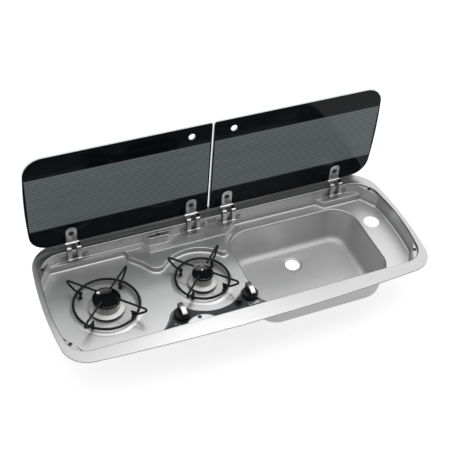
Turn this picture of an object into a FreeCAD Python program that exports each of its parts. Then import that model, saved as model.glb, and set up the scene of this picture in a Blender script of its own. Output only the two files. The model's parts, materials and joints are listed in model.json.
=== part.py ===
# Built-in two-burner gas hob and sink in one pressed steel pan, under two hinged glass lids.
# X runs along the unit, Y to the back and Z up. The worktop surface is at Z = 0, the pan's
# rim lies on it, and the origin is the middle of the rim. Lids stand open, as in use.
import FreeCAD, Part
import math
import os
import re
import Sketcher
from FreeCAD import Placement, Rotation, Vector

doc = FreeCAD.newDocument("hob_and_sink")
dims = doc.addObject("Spreadsheet::Sheet", "dims")

# Driving dimensions in millimetres. A "drop" is measured down from the top of the rim.
DIMENSIONS = [
    # Rim
    ("rim_length", 900), ("rim_depth", 370), ("rim_height", 2.5), ("sheet", 1.0),
    ("side_bow", 18), ("front_bow", 18), ("back_bow", 5),
    ("rim_front_corner", 61), ("rim_back_corner", 71), ("rim_edge_round", 1.2),
    ("seal_width", 6), ("seal_inset", 2),
    # Tray
    ("side_band", 12), ("front_band", 44.5), ("back_band", 38.5), ("tray_bend", 2.4),
    ("tray_front_corner", 50), ("tray_back_corner", 60), ("tray_drop", 43), ("foot_round", 6),
    ("step_round", 2), ("nose_round", 20), ("tip_round", 9), ("upright_round", 7),
    # Screw ledges in the corners, in a boss at the back and a half moon at the front
    ("screw_ledge_drop", 6), ("corner_along", 68), ("corner_across", 44),
    ("boss_from_hinge", 91), ("boss_base", 70), ("boss_front", 48), ("boss_reach", 15.5),
    ("moon_width", 72), ("moon_reach", 20), ("fixing_radius", 3), ("fixing_from_end", 18),
    ("fixing_from_back", 29.5), ("fixing_from_front", 33.5), ("boss_fixing", 7), ("moon_fixing", 11.5),
    # Hinge ledges and plateaus
    ("hinge_ledge_drop", 27.5), ("narrow_ledge", 11), ("wide_ledge", 34),
    ("pad_ledge", 18.5), ("ledge_from_end", 8), ("ledge_before_boss", 28), ("ledge_past_hinge", 16),
    ("pad_before_hinge", 50), ("pad_past_end", 2), ("ledge_slant", 14),
    ("plateau_drop", 31), ("plateau_from_burner", 90), ("plateau_past_burner", 124),
    ("left_clear_radius", 148), ("right_clear_radius", 97),
    ("bowl_lip_back", 15), ("bowl_lip_front", 11.5),
    # Bowl, waste seat and tap hole
    ("bowl_from_burner", 104), ("bowl_from_end", 77), ("bowl_from_back", 30.5), ("bowl_from_front", 12.5),
    ("bowl_corner", 58), ("bowl_drop", 132), ("bowl_draft", 7), ("bowl_floor_round", 26),
    ("bowl_lip_round", 4),
    ("waste_from_left", 164), ("waste_from_back", 67), ("waste_radius", 18.5), ("waste_seat_radius", 25),
    ("waste_seat_drop", 2.5), ("tap_from_end", 45), ("tap_from_back", 103.5), ("tap_radius", 19.5),
    # Burners
    ("burner_forward", 7), ("burner_from_end", 129), ("burner_pitch", 229),
    ("left_dish_radius", 79), ("right_dish_radius", 69), ("dish_drop", 3), ("dish_slope", 8),
    ("dish_round", 9), ("left_head_radius", 30), ("right_head_radius", 23), ("cap_overhang", 2),
    ("cap_rise", 5), ("cap_edge", 2.5), ("cap_spigot", 3), ("head_height", 20), ("head_wall", 5),
    ("port_count", 24), ("port_width", 2.2), ("port_height", 5), ("port_below_cap", 3),
    ("flange_reach", 14), ("flange_lip", 1.2), ("flange_rise", 5.5), ("seat_step", 1),
    ("floor_hole_reach", 8),
    ("burner_seal_width", 5), ("burner_seal_thick", 4.5), ("throat_inset", 2), ("throat_wall", 5),
    ("throat_depth", 16), ("cup_top", 5), ("cup_wall", 3), ("cup_depth", 29), ("air_hole", 4),
    ("fit_gap", 0.2),
    ("jet_radius", 6), ("jet_top", 18), ("jet_block", 12), ("jet_depth", 41),
    ("probe_radius", 1.6), ("probe_offset", 4.5), ("probe_top", 27), ("probe_depth", 22),
    ("probe_turn", 35), ("spark_turn", 85),
    ("spark_radius", 1.2), ("sleeve_radius", 2.4), ("sleeve_top", 20),
    # Pan supports
    ("left_ring_radius", 73.5), ("right_ring_radius", 62.5), ("ring_wire", 2.9), ("arm_wire", 2.5),
    ("ring_drop", 31), ("arm_top_drop", -0.8), ("arm_reach", 31.5), ("left_arm_inner", 23.5),
    ("right_arm_inner", 22.5), ("arm_foot", 13), ("arm_heel", 6), ("arm_bend", 5), ("arm_turn", 45),
    ("weld", 0.8), ("foot_radius", 4.6), ("foot_reach", 8),
    # Controls
    ("panel_inset", 2.5), ("panel_thick", 1.5), ("left_knob_along", 145), ("left_knob_before", 90),
    ("right_knob_along", 82), ("right_knob_before", 84), ("knob_radius", 18.5), ("knob_skirt", 6),
    ("knob_top", 16), ("knob_height", 24), ("knob_grip", 11), ("grip_length", 36), ("grip_cap", 1.6),
    ("grip_crown", 5), ("knob_gap", 5), ("spindle_radius", 4), ("spindle_in_knob", 12),
    ("spindle_length", 26), ("bore_depth", 12), ("pin_radius", 2.6), ("pin_length", 12.5),
    ("pin_bore_depth", 26),
    ("valve_wide", 17), ("valve_deep", 24), ("valve_tall", 34), ("valve_neck", 7),
    ("igniter_along", 33), ("igniter_before", 14), ("button_radius", 6), ("button_rise", 15),
    ("button_length", 17), ("collar_radius", 9.5), ("collar_neck", 7.5), ("collar_rise", 3),
    ("igniter_radius", 9), ("igniter_length", 30), ("igniter_bore", 14),
    ("clip_along", 2.5), ("clip_before", 26), ("clip_long", 36), ("clip_wide", 8), ("clip_thick", 1.5),
    # Gas pipes below the pan
    ("rail_drop", 70), ("rail_radius", 6), ("rail_past_left", 41), ("rail_past_right", 12),
    ("rail_boss", 12), ("rail_boss_radius", 5), ("pipe_radius", 3), ("pipe_bend", 9), ("pipe_drop", 52.5),
    ("pipe_behind_knob", 49), ("inlet_radius", 4), ("inlet_length", 160), ("inlet_tail", 40),
    ("inlet_nut", 7), ("inlet_nut_length", 10),
    # Lids and hinges
    ("lid_from_end", 13), ("lid_gap", 4), ("lid_height", 264), ("lid_thick", 5), ("lid_lift", 10),
    ("lid_bow", 7), ("lid_corner", 45), ("lid_inner_corner", 6), ("lid_behind_pivot", 25.5),
    ("finger_x", 51), ("finger_below_top", 28), ("finger_radius", 8),
    ("hinge_from_end", 99), ("inner_hinge_x", 46), ("pivot_from_wall", 6.5), ("pivot_drop", 22),
    ("arm_sheet", 2), ("strap_bend", 6), ("arm_width", 33), ("strap_gap", 13.4), ("slot_reach", 10),
    ("shoulder_lift", 12), ("tongue_width", 26), ("tongue_top", 48), ("tongue_round", 11),
    ("lid_screw_up", 30), ("pad_thick", 1), ("pad_radius", 9),
    ("eye_radius", 4.5), ("hinge_pin_radius", 2.4), ("pin_gap", 0.05), ("knuckle_gap", 0.4),
    ("bracket_sheet", 1.2), ("bracket_width", 65), ("bracket_up", 10.5), ("bracket_down", 2.5),
    ("web_half", 2), ("rivet_x", 29), ("rivet_up", 4), ("rivet_radius", 3), ("rivet_shank", 1.5),
    ("rivet_rise", 1),
    ("lid_screw_head", 6.5), ("lid_screw_rise", 2.5), ("lid_screw_shank", 2.4), ("lid_nut_radius", 8),
    ("lid_nut_rise", 4), ("glass_hole", 3.5),
    ("centre_x", 4), ("centre_wide", 44), ("centre_tall", 8.4), ("centre_foot", 8), ("centre_below", 2.8),
    ("centre_hole", 2), ("centre_hole_x", 13),
]
# Places that follow from the driving dimensions. The bowl takes the length that the burners leave.
PLACES = {
    "tray_end": "rim_length / 2 - side_band",
    "tray_back": "rim_depth / 2 - back_band",
    "tray_front": "front_band - rim_depth / 2",
    "burner_y": "(tray_back + tray_front) / 2 - burner_forward",
    "left_burner_x": "burner_from_end - tray_end",
    "right_burner_x": "left_burner_x + burner_pitch",
    "bowl_left": "right_burner_x + bowl_from_burner",
    "bowl_right": "tray_end - bowl_from_end",
    "bowl_back": "tray_back - bowl_from_back",
    "bowl_front": "tray_front + bowl_from_front",
    "waste_x": "bowl_left + waste_from_left",
    "waste_y": "bowl_back - waste_from_back",
    "tap_x": "tray_end - tap_from_end",
    "tap_y": "tray_back - tap_from_back",
    "plateau_left": "left_burner_x + plateau_from_burner",
    "plateau_right": "right_burner_x + plateau_past_burner",
    "boss_x": "-(inner_hinge_x + boss_from_hinge)",
    "boss_fixing_y": "tray_back - boss_fixing",
    "moon_fixing_y": "tray_front + moon_fixing",
    "fixing_x": "tray_end - fixing_from_end",
    "fixing_back_y": "tray_back - fixing_from_back",
    "fixing_front_y": "tray_front + fixing_from_front",
    "ledge_left_end": "ledge_from_end - tray_end",
    "ledge_step_x": "boss_x - ledge_before_boss",
    "ledge_right_end": "inner_hinge_x + ledge_past_hinge",
    "pad_left_end": "outer_hinge_x - pad_before_hinge",
    "pad_right_end": "tray_end + pad_past_end",
    "left_knob_x": "left_burner_x + left_knob_along",
    "left_knob_y": "burner_y - left_knob_before",
    "right_knob_x": "right_burner_x + right_knob_along",
    "right_knob_y": "burner_y - right_knob_before",
    "igniter_x": "right_knob_x - igniter_along",
    "igniter_y": "right_knob_y - igniter_before",
    "clip_x": "right_knob_x + clip_along",
    "clip_y": "right_knob_y - clip_before",
    "rail_y": "left_knob_y",
    "rail_left": "left_knob_x - rail_past_left",
    "rail_right": "right_knob_x + rail_past_right",
    "pipe_y": "left_knob_y + pipe_behind_knob",
    "lid_half": "rim_length / 2 - lid_from_end",
    "outer_hinge_x": "lid_half - hinge_from_end",
    "pivot_y": "tray_back - pivot_from_wall",
    "lid_y": "pivot_y + lid_behind_pivot",
}
ALIASES = [alias for alias, value in DIMENSIONS]
for row, (alias, value) in enumerate(DIMENSIONS, 1):
    dims.set(f"A{row}", alias.replace("_", " "))
    dims.set(f"B{row}", str(value))
    dims.setAlias(f"B{row}", alias)
doc.recompute()


# Expressions on the sheet
def ex(text):
    """Turn plain words of the sheet, and places, into an expression that an object can be bound to."""
    def word(found):
        name = found.group(0)
        if name in PLACES:
            return f"({ex(PLACES[name])})"
        return f"dims.{name}" if name in ALIASES else name
    return re.sub(r"[a-z_]\w*", word, text)


def num(text):
    """The present value of an expression."""
    return float(dims.evalExpression(ex(text)))


sub_parts = []


def keep(obj, label):
    """Take an object as a finished sub-part under its own name."""
    obj.Label = label
    sub_parts.append(obj)
    return obj


def put(obj, at, turn=None):
    """Bind an object's place to the sheet, after an optional fixed turn."""
    if turn:
        obj.Placement = Placement(Vector(), turn)
    for axis, text in zip("xyz", at):
        obj.setExpression(f"Placement.Base.{axis}", ex(text))
    return obj


# Sketches and features of a body
def new_body(label):
    return keep(doc.addObject("PartDesign::Body", label), label)


def sketch_on(body, role, offset=None):
    sketch = body.newObject("Sketcher::SketchObject", f"{body.Name}_sketch")
    plane = next(f for f in body.Origin.OriginFeatures if f.Role == role)
    sketch.AttachmentSupport = [(plane, "")]
    sketch.MapMode = "FlatFace"
    if offset:
        sketch.setExpression("AttachmentOffset.Base.z", ex(offset))
    return sketch


def pin_point(sketch, geometry, point, x, y):
    """Hold a point of a sketch at two expressions from the sketch's origin."""
    for kind, text, axis in (("DistanceX", x, -2), ("DistanceY", y, -1)):
        if text == "0":
            sketch.addConstraint(Sketcher.Constraint("PointOnObject", geometry, point, axis))
            continue
        index = sketch.addConstraint(Sketcher.Constraint(kind, -1, 1, geometry, point, num(text)))
        sketch.renameConstraint(index, f"{kind}_{geometry}")
        sketch.setExpression(f"Constraints.{kind}_{geometry}", ex(text))


def add_loop(sketch, points, bowed=None):
    """A closed polygon whose corners are pairs of expressions, run anticlockwise.

    One side may be bowed outwards: its number, the point it passes and its radius."""
    first = sketch.GeometryCount
    count = len(points)
    places = [Vector(num(x), num(y), 0) for x, y in points]
    for i in range(count):
        start, end = places[i], places[(i + 1) % count]
        if bowed and bowed[0] == i:
            middle = Vector(num(bowed[1]), num(bowed[2]), 0)
            sketch.addGeometry(Part.Arc(start, middle, end))
            size = sketch.addConstraint(Sketcher.Constraint("Radius", first + i, num(bowed[3])))
            sketch.renameConstraint(size, "bow_radius")
            sketch.setExpression("Constraints.bow_radius", ex(bowed[3]))
        else:
            sketch.addGeometry(Part.LineSegment(start, end))
    for i in range(count):
        sketch.addConstraint(Sketcher.Constraint("Coincident", first + i, 2, first + (i + 1) % count, 1))
    for i, (x, y) in enumerate(points):
        pin_point(sketch, first + i, 1, x, y)
    return sketch


def add_circle(sketch, x, y, radius):
    index = sketch.addGeometry(Part.Circle(Vector(num(x), num(y), 0), Vector(0, 0, 1), num(radius)))
    pin_point(sketch, index, 3, x, y)
    size = sketch.addConstraint(Sketcher.Constraint("Radius", index, num(radius)))
    sketch.renameConstraint(size, f"radius_{index}")
    sketch.setExpression(f"Constraints.radius_{index}", ex(radius))
    return sketch


def pad(body, sketch, length, middle=False, back=False):
    feature = body.newObject("PartDesign::Pad", f"{body.Name}_pad")
    feature.Profile = sketch
    feature.setExpression("Length", ex(length))
    if middle:
        feature.SideType = "Symmetric"
    feature.Reversed = back
    doc.recompute()
    return feature


def pocket(body, sketch):
    """Cut a sketch's outline through the whole body, both ways."""
    before = body.Shape.Volume
    feature = body.newObject("PartDesign::Pocket", f"{body.Name}_pocket")
    feature.Profile = sketch
    feature.Type = "ThroughAll"
    feature.SideType = "Symmetric"
    doc.recompute()
    if not body.Shape.Volume < before:
        raise RuntimeError(f"a pocket of {body.Label} cuts nothing")
    return feature


def pocket_one_way(body, corners):
    """Cut a polygon through one side of a turned piece, from its axis to the front."""
    before = body.Shape.Volume
    feature = body.newObject("PartDesign::Pocket", f"{body.Name}_port")
    feature.Profile = add_loop(sketch_on(body, "XZ_Plane"), corners)
    feature.Type = "ThroughAll"
    doc.recompute()
    if not body.Shape.Volume < before:
        raise RuntimeError(f"a port of {body.Label} cuts nothing")
    return feature


def revolve(body, points):
    """Turn a profile of (radius, height) expressions about the body's own Z axis."""
    sketch = add_loop(sketch_on(body, "XZ_Plane"), points)
    feature = body.newObject("PartDesign::Revolution", f"{body.Name}_turn")
    feature.Profile = sketch
    feature.ReferenceAxis = (sketch, ["V_Axis"])
    feature.Angle = 360
    doc.recompute()
    return feature


def groove(body, points):
    """Turn a profile out of the body about its own Z axis."""
    before = body.Shape.Volume
    sketch = add_loop(sketch_on(body, "XZ_Plane"), points)
    feature = body.newObject("PartDesign::Groove", f"{body.Name}_groove")
    feature.Profile = sketch
    feature.ReferenceAxis = (sketch, ["V_Axis"])
    feature.Angle = 360
    doc.recompute()
    if not body.Shape.Volume < before:
        raise RuntimeError(f"a groove of {body.Label} cuts nothing")
    return feature


def turn_pattern(body, features, count):
    """Repeat features round the body's own Z axis."""
    pattern = body.newObject("PartDesign::PolarPattern", f"{body.Name}_pattern")
    pattern.Originals = features
    axis = next(f for f in body.Origin.OriginFeatures if f.Role == "Z_Axis")
    pattern.Axis = (axis, [""])
    pattern.Angle = 360
    pattern.setExpression("Occurrences", ex(count))
    body.Tip = pattern
    doc.recompute()
    return pattern


def round_edges(body, radius, chosen):
    """Fillet the edges of the body's last feature that a test picks."""
    base = body.Tip
    names = [f"Edge{i}" for i, edge in enumerate(base.Shape.Edges, 1) if chosen(edge)]
    feature = body.newObject("PartDesign::Fillet", f"{body.Name}_round")
    feature.Base = (base, names)
    feature.setExpression("Radius", ex(radius))
    doc.recompute()
    return feature


def ring_at(radius, height):
    """Picks the circular edge of a turned piece at a radius and height."""
    def chosen(edge):
        curve = edge.Curve
        return (isinstance(curve, Part.Circle) and abs(curve.Radius - num(radius)) < 1e-3
                and abs(curve.Center.z - num(height)) < 1e-3)
    return chosen


def rectangle(left, right, low, high):
    return [(left, low), (right, low), (right, high), (left, high)]


def block(body, plane, corners, length, offset=None, middle=False):
    """Pad a polygon of expressions drawn on one of the body's own planes."""
    return pad(body, add_loop(sketch_on(body, plane, offset), corners), length, middle)


def drum(body, plane, x, y, radius, length, offset=None, middle=False):
    """Pad a circle drawn on one of the body's own planes."""
    return pad(body, add_circle(sketch_on(body, plane, offset), x, y, radius), length, middle)


def drill(body, plane, x, y, radius):
    return pocket(body, add_circle(sketch_on(body, plane), x, y, radius))


def cylinder(name, radius, height, at, turn=None):
    obj = doc.addObject("Part::Cylinder", name)
    obj.setExpression("Radius", ex(radius))
    obj.setExpression("Height", ex(height))
    return put(obj, at, turn)


def box(name, long, wide, tall, at):
    obj = doc.addObject("Part::Box", name)
    for side, text in (("Length", long), ("Width", wide), ("Height", tall)):
        obj.setExpression(side, ex(text))
    return put(obj, at)


def fuse(name, pieces):
    obj = doc.addObject("Part::MultiFuse", name)
    obj.Shapes = pieces
    return obj


def cut(name, base, tool):
    obj = doc.addObject("Part::Cut", name)
    obj.Base = base
    obj.Tool = tool
    return obj


def group(label, pieces):
    """Like pieces that share a node stay separate solids in a compound."""
    obj = doc.addObject("Part::Compound", label)
    obj.Links = pieces
    return keep(obj, label)


ALONG_X = Rotation(Vector(0, 1, 0), 90)
ALONG_Y = Rotation(Vector(1, 0, 0), -90)


# Outlines of the pressing
def arc_or_line(start, through, end):
    """The edge between two points, bent through a third unless all three are in line."""
    if (through - start).cross(end - start).Length < 1e-6:
        return Part.makeLine(start, end)
    return Part.Arc(start, through, end).toShape()


def bowed_face(half_length, back, front, side_bow, back_bow, front_bow, back_corner, front_corner):
    """A flat outline with bowed sides and round corners, the same left and right."""
    middle = (back + front) / 2
    half_depth = (back - front) / 2

    def bow(x_or_y, reach, sagitta, inset):
        if sagitta == 0:
            return -inset
        radius = (reach ** 2 + sagitta ** 2) / (2 * sagitta)
        return math.sqrt((radius - inset) ** 2 - x_or_y ** 2) - radius

    def lean(x_or_y, reach, sagitta, inset):
        """Sine of the angle at which a round corner leaves a bowed edge."""
        if sagitta == 0:
            return 0
        return x_or_y / ((reach ** 2 + sagitta ** 2) / (2 * sagitta) - inset)

    def side_x(y, inset):
        return half_length + bow(y - middle, half_depth, side_bow, inset)

    def end_y(x, inset, sign):
        edge, sagitta = (back, back_bow) if sign > 0 else (front, front_bow)
        return edge + sign * bow(x, half_length, sagitta, inset)

    def corner(sign, radius):
        x, y = half_length - radius, end_y(0, radius, sign)
        for _ in range(60):
            x = side_x(y, radius)
            y = end_y(x, radius, sign)
        side_turn = math.asin(lean(y - middle, half_depth, side_bow, radius))
        end_turn = math.asin(lean(x, half_length, back_bow if sign > 0 else front_bow, radius))
        centre = Vector(x, y, 0)
        on_side = centre + Vector(math.cos(side_turn), math.sin(side_turn), 0) * radius
        on_end = centre + Vector(math.sin(end_turn), sign * math.cos(end_turn), 0) * radius
        between = (on_side + on_end) / 2 - centre
        return on_side, centre + between.normalize() * radius, on_end

    def mirror(point):
        return Vector(-point.x, point.y, 0)

    back_side, back_mid, back_end = corner(1, back_corner)
    front_side, front_mid, front_end = corner(-1, front_corner)
    edges = [
        arc_or_line(mirror(front_end), Vector(0, front, 0), front_end),
        arc_or_line(front_end, front_mid, front_side),
        arc_or_line(front_side, Vector(half_length, middle, 0), back_side),
        arc_or_line(back_side, back_mid, back_end),
        arc_or_line(back_end, Vector(0, back, 0), mirror(back_end)),
        arc_or_line(mirror(back_end), mirror(back_mid), mirror(back_side)),
        arc_or_line(mirror(back_side), Vector(-half_length, middle, 0), mirror(front_side)),
        arc_or_line(mirror(front_side), mirror(front_mid), mirror(front_end)),
    ]
    return Part.Face(Part.Wire(edges))


def polygon_face(points):
    corners = [Vector(x, y, 0) for x, y in points]
    return Part.Face(Part.makePolygon(corners + corners[:1]))


def disc_face(x, y, radius):
    return Part.Face(Part.Wire(Part.makeCircle(radius, Vector(x, y, 0))))


def rounded_face(left, right, back, front, radius):
    """A rectangle with round corners."""
    sheet_face = polygon_face([(left, front), (right, front), (right, back), (left, back)])
    return sheet_face.makeOffset2D(-radius).makeOffset2D(radius)


def main_face(shape):
    """The largest face of a flat boolean's result."""
    return max(shape.Faces, key=lambda face: face.Area)


def sizes(*aliases):
    return [num(alias) for alias in aliases]


# Levels of the pressing, as heights
TOP = num("rim_height")


def level(drop):
    return TOP - num(drop)


tray_half, tray_back, tray_front = sizes("tray_end", "tray_back", "tray_front")
left_burner = (num("left_burner_x"), num("burner_y"))
right_burner = (num("right_burner_x"), num("burner_y"))
BEYOND = num("rim_depth")


def rim_face(inset):
    half_length, half_depth = num("rim_length / 2"), num("rim_depth / 2")
    face = bowed_face(half_length, half_depth, -half_depth,
                      *sizes("side_bow", "back_bow", "front_bow", "rim_back_corner", "rim_front_corner"))
    return face.makeOffset2D(-inset) if inset else face


def tray_face():
    side_bow, back_corner, front_corner = sizes("side_bow", "tray_back_corner", "tray_front_corner")
    return bowed_face(tray_half, tray_back, tray_front, side_bow, 0, 0, back_corner, front_corner)


def corner_ledge(side, end):
    """The part of the tray's corner that lies beyond a straight chord."""
    along, across = sizes("corner_along", "corner_across")
    edge = tray_back if end > 0 else tray_front
    on_side = Vector(side * tray_half, edge - end * along, 0)
    on_end = Vector(side * (tray_half - across), edge, 0)
    chord = on_end - on_side
    far = Vector(side * (tray_half + along), edge + end * across, 0)
    return polygon_face([(p.x, p.y) for p in (on_side - chord, on_end + chord, far)])


def back_boss():
    x, base, front, reach = sizes("boss_x", "boss_base", "boss_front", "boss_reach")
    widen = (base - front) / 2 / reach
    foot = base / 2 + widen * reach
    return polygon_face([(x - front / 2, tray_back - reach), (x + front / 2, tray_back - reach),
                         (x + foot, tray_back + reach), (x - foot, tray_back + reach)])


def front_moon():
    x, width, reach = sizes("boss_x", "moon_width", "moon_reach")
    radius = (width ** 2 / 4 + reach ** 2) / (2 * reach)
    return disc_face(x, tray_front + reach - radius, radius)


def hinge_ledges():
    """The stepped ledge behind the hob, clear of the bowl, and the pad behind the bowl's right end."""
    narrow, wide, pad_reach, slant = sizes("narrow_ledge", "wide_ledge", "pad_ledge", "ledge_slant")
    left, step, right = sizes("ledge_left_end", "ledge_step_x", "ledge_right_end")
    pad_left, pad_right = sizes("pad_left_end", "pad_right_end")
    over = tray_back + slant
    hob_ledge = polygon_face([
        (left, tray_back - narrow), (step - slant, tray_back - narrow), (step, tray_back - wide),
        (right - wide, tray_back - wide), (right + slant, over), (left - slant, over)])
    hob_ledge = main_face(hob_ledge.cut(bowl_face(num("bowl_lip_back"))))
    pad_ledge = polygon_face([
        (pad_left + slant, tray_back - pad_reach), (pad_right - slant, tray_back - pad_reach),
        (pad_right + slant, over), (pad_left - slant, over)])
    return [hob_ledge, pad_ledge]


def bowl_face(grow):
    left, right, corner = sizes("bowl_left", "bowl_right", "bowl_corner")
    back, front = sizes("bowl_back", "bowl_front")
    return rounded_face(left - grow, right + grow, back + grow, front - grow, corner + grow)


def plateau(sign):
    """What stands between the two round burner hollows, at the back (+1) or the front (-1).

    Its nose between the burners is blunter than its tip beside the bowl."""
    left, right, nose, tip = sizes("plateau_left", "plateau_right", "nose_round", "tip_round")
    lip = num("bowl_lip_back" if sign > 0 else "bowl_lip_front")
    middle, seam, far = left_burner[1], right_burner[0], sign * BEYOND
    block = polygon_face([(left, middle), (right, middle), (right, middle + far), (left, middle + far)])
    sharp = main_face(block.cut([disc_face(*left_burner, num("left_clear_radius")),
                                 disc_face(*right_burner, num("right_clear_radius")), bowl_face(lip)]))
    left_half = polygon_face([(left, middle), (seam, middle), (seam, middle + far), (left, middle + far)])
    right_half = polygon_face([(seam, middle), (right, middle), (right, middle + far), (seam, middle + far)])
    return [main_face(sharp.makeOffset2D(-radius).makeOffset2D(radius).common(half))
            for radius, half in ((nose, left_half), (tip, right_half))]


# Solids of the pressing
def is_sharp(solid, edge):
    """Whether the two faces at an edge meet at an angle that shows."""
    middle = edge.valueAt((edge.FirstParameter + edge.LastParameter) / 2)
    faces = solid.ancestorsOfType(edge, Part.Face)
    normals = [face.normalAt(*face.Surface.parameter(middle)) for face in faces]
    return len(normals) == 2 and normals[0].getAngle(normals[1]) > math.radians(8)


def sharp_uprights(solid):
    """Upright edges whose two faces meet at an angle."""
    return [edge for edge in solid.Edges
            if edge.BoundBox.XLength < 1e-5 and edge.BoundBox.YLength < 1e-5 and is_sharp(solid, edge)]


def foot_edges(solid, height):
    return [edge for edge in solid.Edges
            if abs(edge.BoundBox.ZMin - height) < 1e-5 and abs(edge.BoundBox.ZMax - height) < 1e-5]


def rounded_corners(face):
    """The same flat outline with its sharp corners rounded."""
    slab = face.extrude(Vector(0, 0, TOP))
    slab = slab.makeFillet(num("upright_round"), sharp_uprights(slab))
    return next(f for f in slab.Faces if f.BoundBox.ZMax < 1e-6)


def plug(face, height, top, foot):
    """A hollow of the pressing as a solid, with a round foot."""
    solid = face.copy()
    solid.translate(Vector(0, 0, height))
    solid = solid.extrude(Vector(0, 0, top - height))
    return solid.makeFillet(foot, foot_edges(solid, height))


def tray_levels():
    """Outlines of the tray from its mouth to its floor, with the drop and foot of each."""
    mouth = tray_face()
    below_screws = main_face(mouth.cut([corner_ledge(side, end) for side in (-1, 1) for end in (-1, 1)]
                                       + [back_boss(), front_moon()]))
    below_hinges = main_face(below_screws.cut(hinge_ledges()))
    floor = main_face(below_hinges.cut(plateau(1) + plateau(-1)).removeSplitter())
    step, foot = sizes("step_round", "foot_round")
    return [(mouth, "screw_ledge_drop", step),
            (rounded_corners(below_screws), "hinge_ledge_drop", step),
            (rounded_corners(below_hinges), "plateau_drop", step),
            (rounded_corners(floor), "tray_drop", foot)]


def bowl_plug(grow):
    """The bowl narrows to its floor and has a large round foot."""
    draft, lip, foot = sizes("bowl_draft", "bowl_lip_round", "bowl_floor_round")
    mouth_height, floor_height = level("tray_drop"), level("bowl_drop") - grow
    slope = draft / (mouth_height - floor_height)
    mouth = bowl_face(grow + lip * slope).OuterWire
    floor = bowl_face(grow - draft).OuterWire
    mouth.translate(Vector(0, 0, mouth_height + lip))
    floor.translate(Vector(0, 0, floor_height))
    solid = Part.makeLoft([mouth, floor], True, True)
    return solid.makeFillet(foot + grow, foot_edges(solid, floor_height))


def dish(burner, radius, grow):
    """The shallow round dish under a burner."""
    drop, slope, over = sizes("dish_drop", "dish_slope", "sheet / 2")
    wide = num(radius) + grow * (math.hypot(slope, drop) - slope) / drop
    return Part.makeCone(wide - slope, wide + over * slope / drop, drop + over,
                         Vector(*burner, level("tray_drop") - drop - grow))


def waste_seat(grow):
    """The round seat of the waste in the bowl's floor."""
    radius, drop = sizes("waste_seat_radius", "waste_seat_drop")
    foot = Vector(*sizes("waste_x", "waste_y"), level("bowl_drop") - drop - grow)
    return Part.makeCylinder(radius + grow, level("tray_drop") - foot.z, foot)


def hollow(grow, top):
    """All that the pressing is hollow of. Grown by the sheet, it is the outside of the sheet."""
    outlines = tray_levels()
    solids = [plug(face.makeOffset2D(grow) if grow else face, level(drop) - grow, top, foot + grow)
              for face, drop, foot in outlines]
    solids += [bowl_plug(grow), dish(left_burner, "left_dish_radius", grow),
               dish(right_burner, "right_dish_radius", grow), waste_seat(grow)]
    whole = solids[0].fuse(solids[1:]).removeSplitter()
    lip = [edge for edge in foot_edges(whole, level("tray_drop") - grow)
           if bowl_face(grow + num("step_round")).isInside(flat(edge), 1e-3, True)]
    whole = whole.makeFillet(num("bowl_lip_round") - grow, lip)
    for height, radius in ((level("tray_drop"), num("dish_round") - grow),
                           (level("tray_drop + dish_drop"), num("dish_round") + grow)):
        circles = [edge for edge in foot_edges(whole, height - grow) if is_sharp(whole, edge)]
        whole = whole.makeFillet(radius, circles)
    return whole


def flat(edge):
    """The middle of an edge, set down on the plane of the outlines."""
    middle = edge.valueAt((edge.FirstParameter + edge.LastParameter) / 2)
    return Vector(middle.x, middle.y, 0)


def upright_hole(x, y, radius):
    return Part.makeCylinder(num(radius), 2 * BEYOND, Vector(num(x), num(y), -BEYOND))


def wall_hole(x, height, radius):
    """A hole through the tray's back wall."""
    return Part.makeCylinder(num(radius), BEYOND / 10, Vector(num(x), tray_back - BEYOND / 20, num(height)),
                             Vector(0, 1, 0))


HINGES = [("left", "outer", "-outer_hinge_x"), ("left", "inner", "-inner_hinge_x"),
          ("right", "inner", "inner_hinge_x"), ("right", "outer", "outer_hinge_x")]
FIXINGS = [("fixing_x", "fixing_back_y"), ("-fixing_x", "fixing_back_y"), ("fixing_x", "fixing_front_y"),
           ("-fixing_x", "fixing_front_y"), ("boss_x", "boss_fixing_y"), ("boss_x", "moon_fixing_y")]
PIVOT_HEIGHT = "rim_height - pivot_drop"
RIVET_HEIGHT = "rim_height - pivot_drop + rivet_up"
RIVETS = [f"{x} {sign} rivet_x" for side, place, x in HINGES for sign in "+-"]


def pan_holes():
    holes = [upright_hole(x, y, "fixing_radius") for x, y in FIXINGS]
    holes.append(upright_hole("tap_x", "tap_y", "tap_radius"))
    holes.append(upright_hole("waste_x", "waste_y", "waste_radius"))
    holes += [upright_hole(f"{side}_burner_x", "burner_y", f"{side}_head_radius + floor_hole_reach")
              for side in ("left", "right")]
    holes += [upright_hole(f"{side}_knob_x", f"{side}_knob_y", "valve_neck") for side in ("left", "right")]
    holes.append(upright_hole("igniter_x", "igniter_y", "collar_neck"))
    return holes + [wall_hole(x, RIVET_HEIGHT, "rivet_shank") for x in RIVETS]


def pressed_pan():
    """Rim and tray in one sheet, with the mouth of the tray bent down in a small radius."""
    sheet, edge_round, bend = sizes("sheet", "rim_edge_round", "tray_bend")
    rim = rim_face(0).extrude(Vector(0, 0, TOP))
    rim = rim.makeFillet(edge_round, foot_edges(rim, TOP))
    under = rim_face(sheet).extrude(Vector(0, 0, TOP - sheet))
    pan = rim.cut(under).fuse(hollow(sheet, TOP - sheet / 2)).cut(hollow(0, TOP + sheet))
    within = rim_face(num("side_band / 2"))
    for height, radius in ((TOP, bend), (TOP - sheet, bend - sheet)):
        pan = pan.makeFillet(radius, [edge for edge in foot_edges(pan, height)
                                      if within.isInside(flat(edge), 1e-3, True)])
    return pan.cut(pan_holes()).Solids[0]


def shaped(label, shape):
    """A sub-part whose outline follows the pressing's own curves."""
    obj = doc.addObject("Part::Feature", label)
    obj.Shape = shape
    return keep(obj, label)


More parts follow.
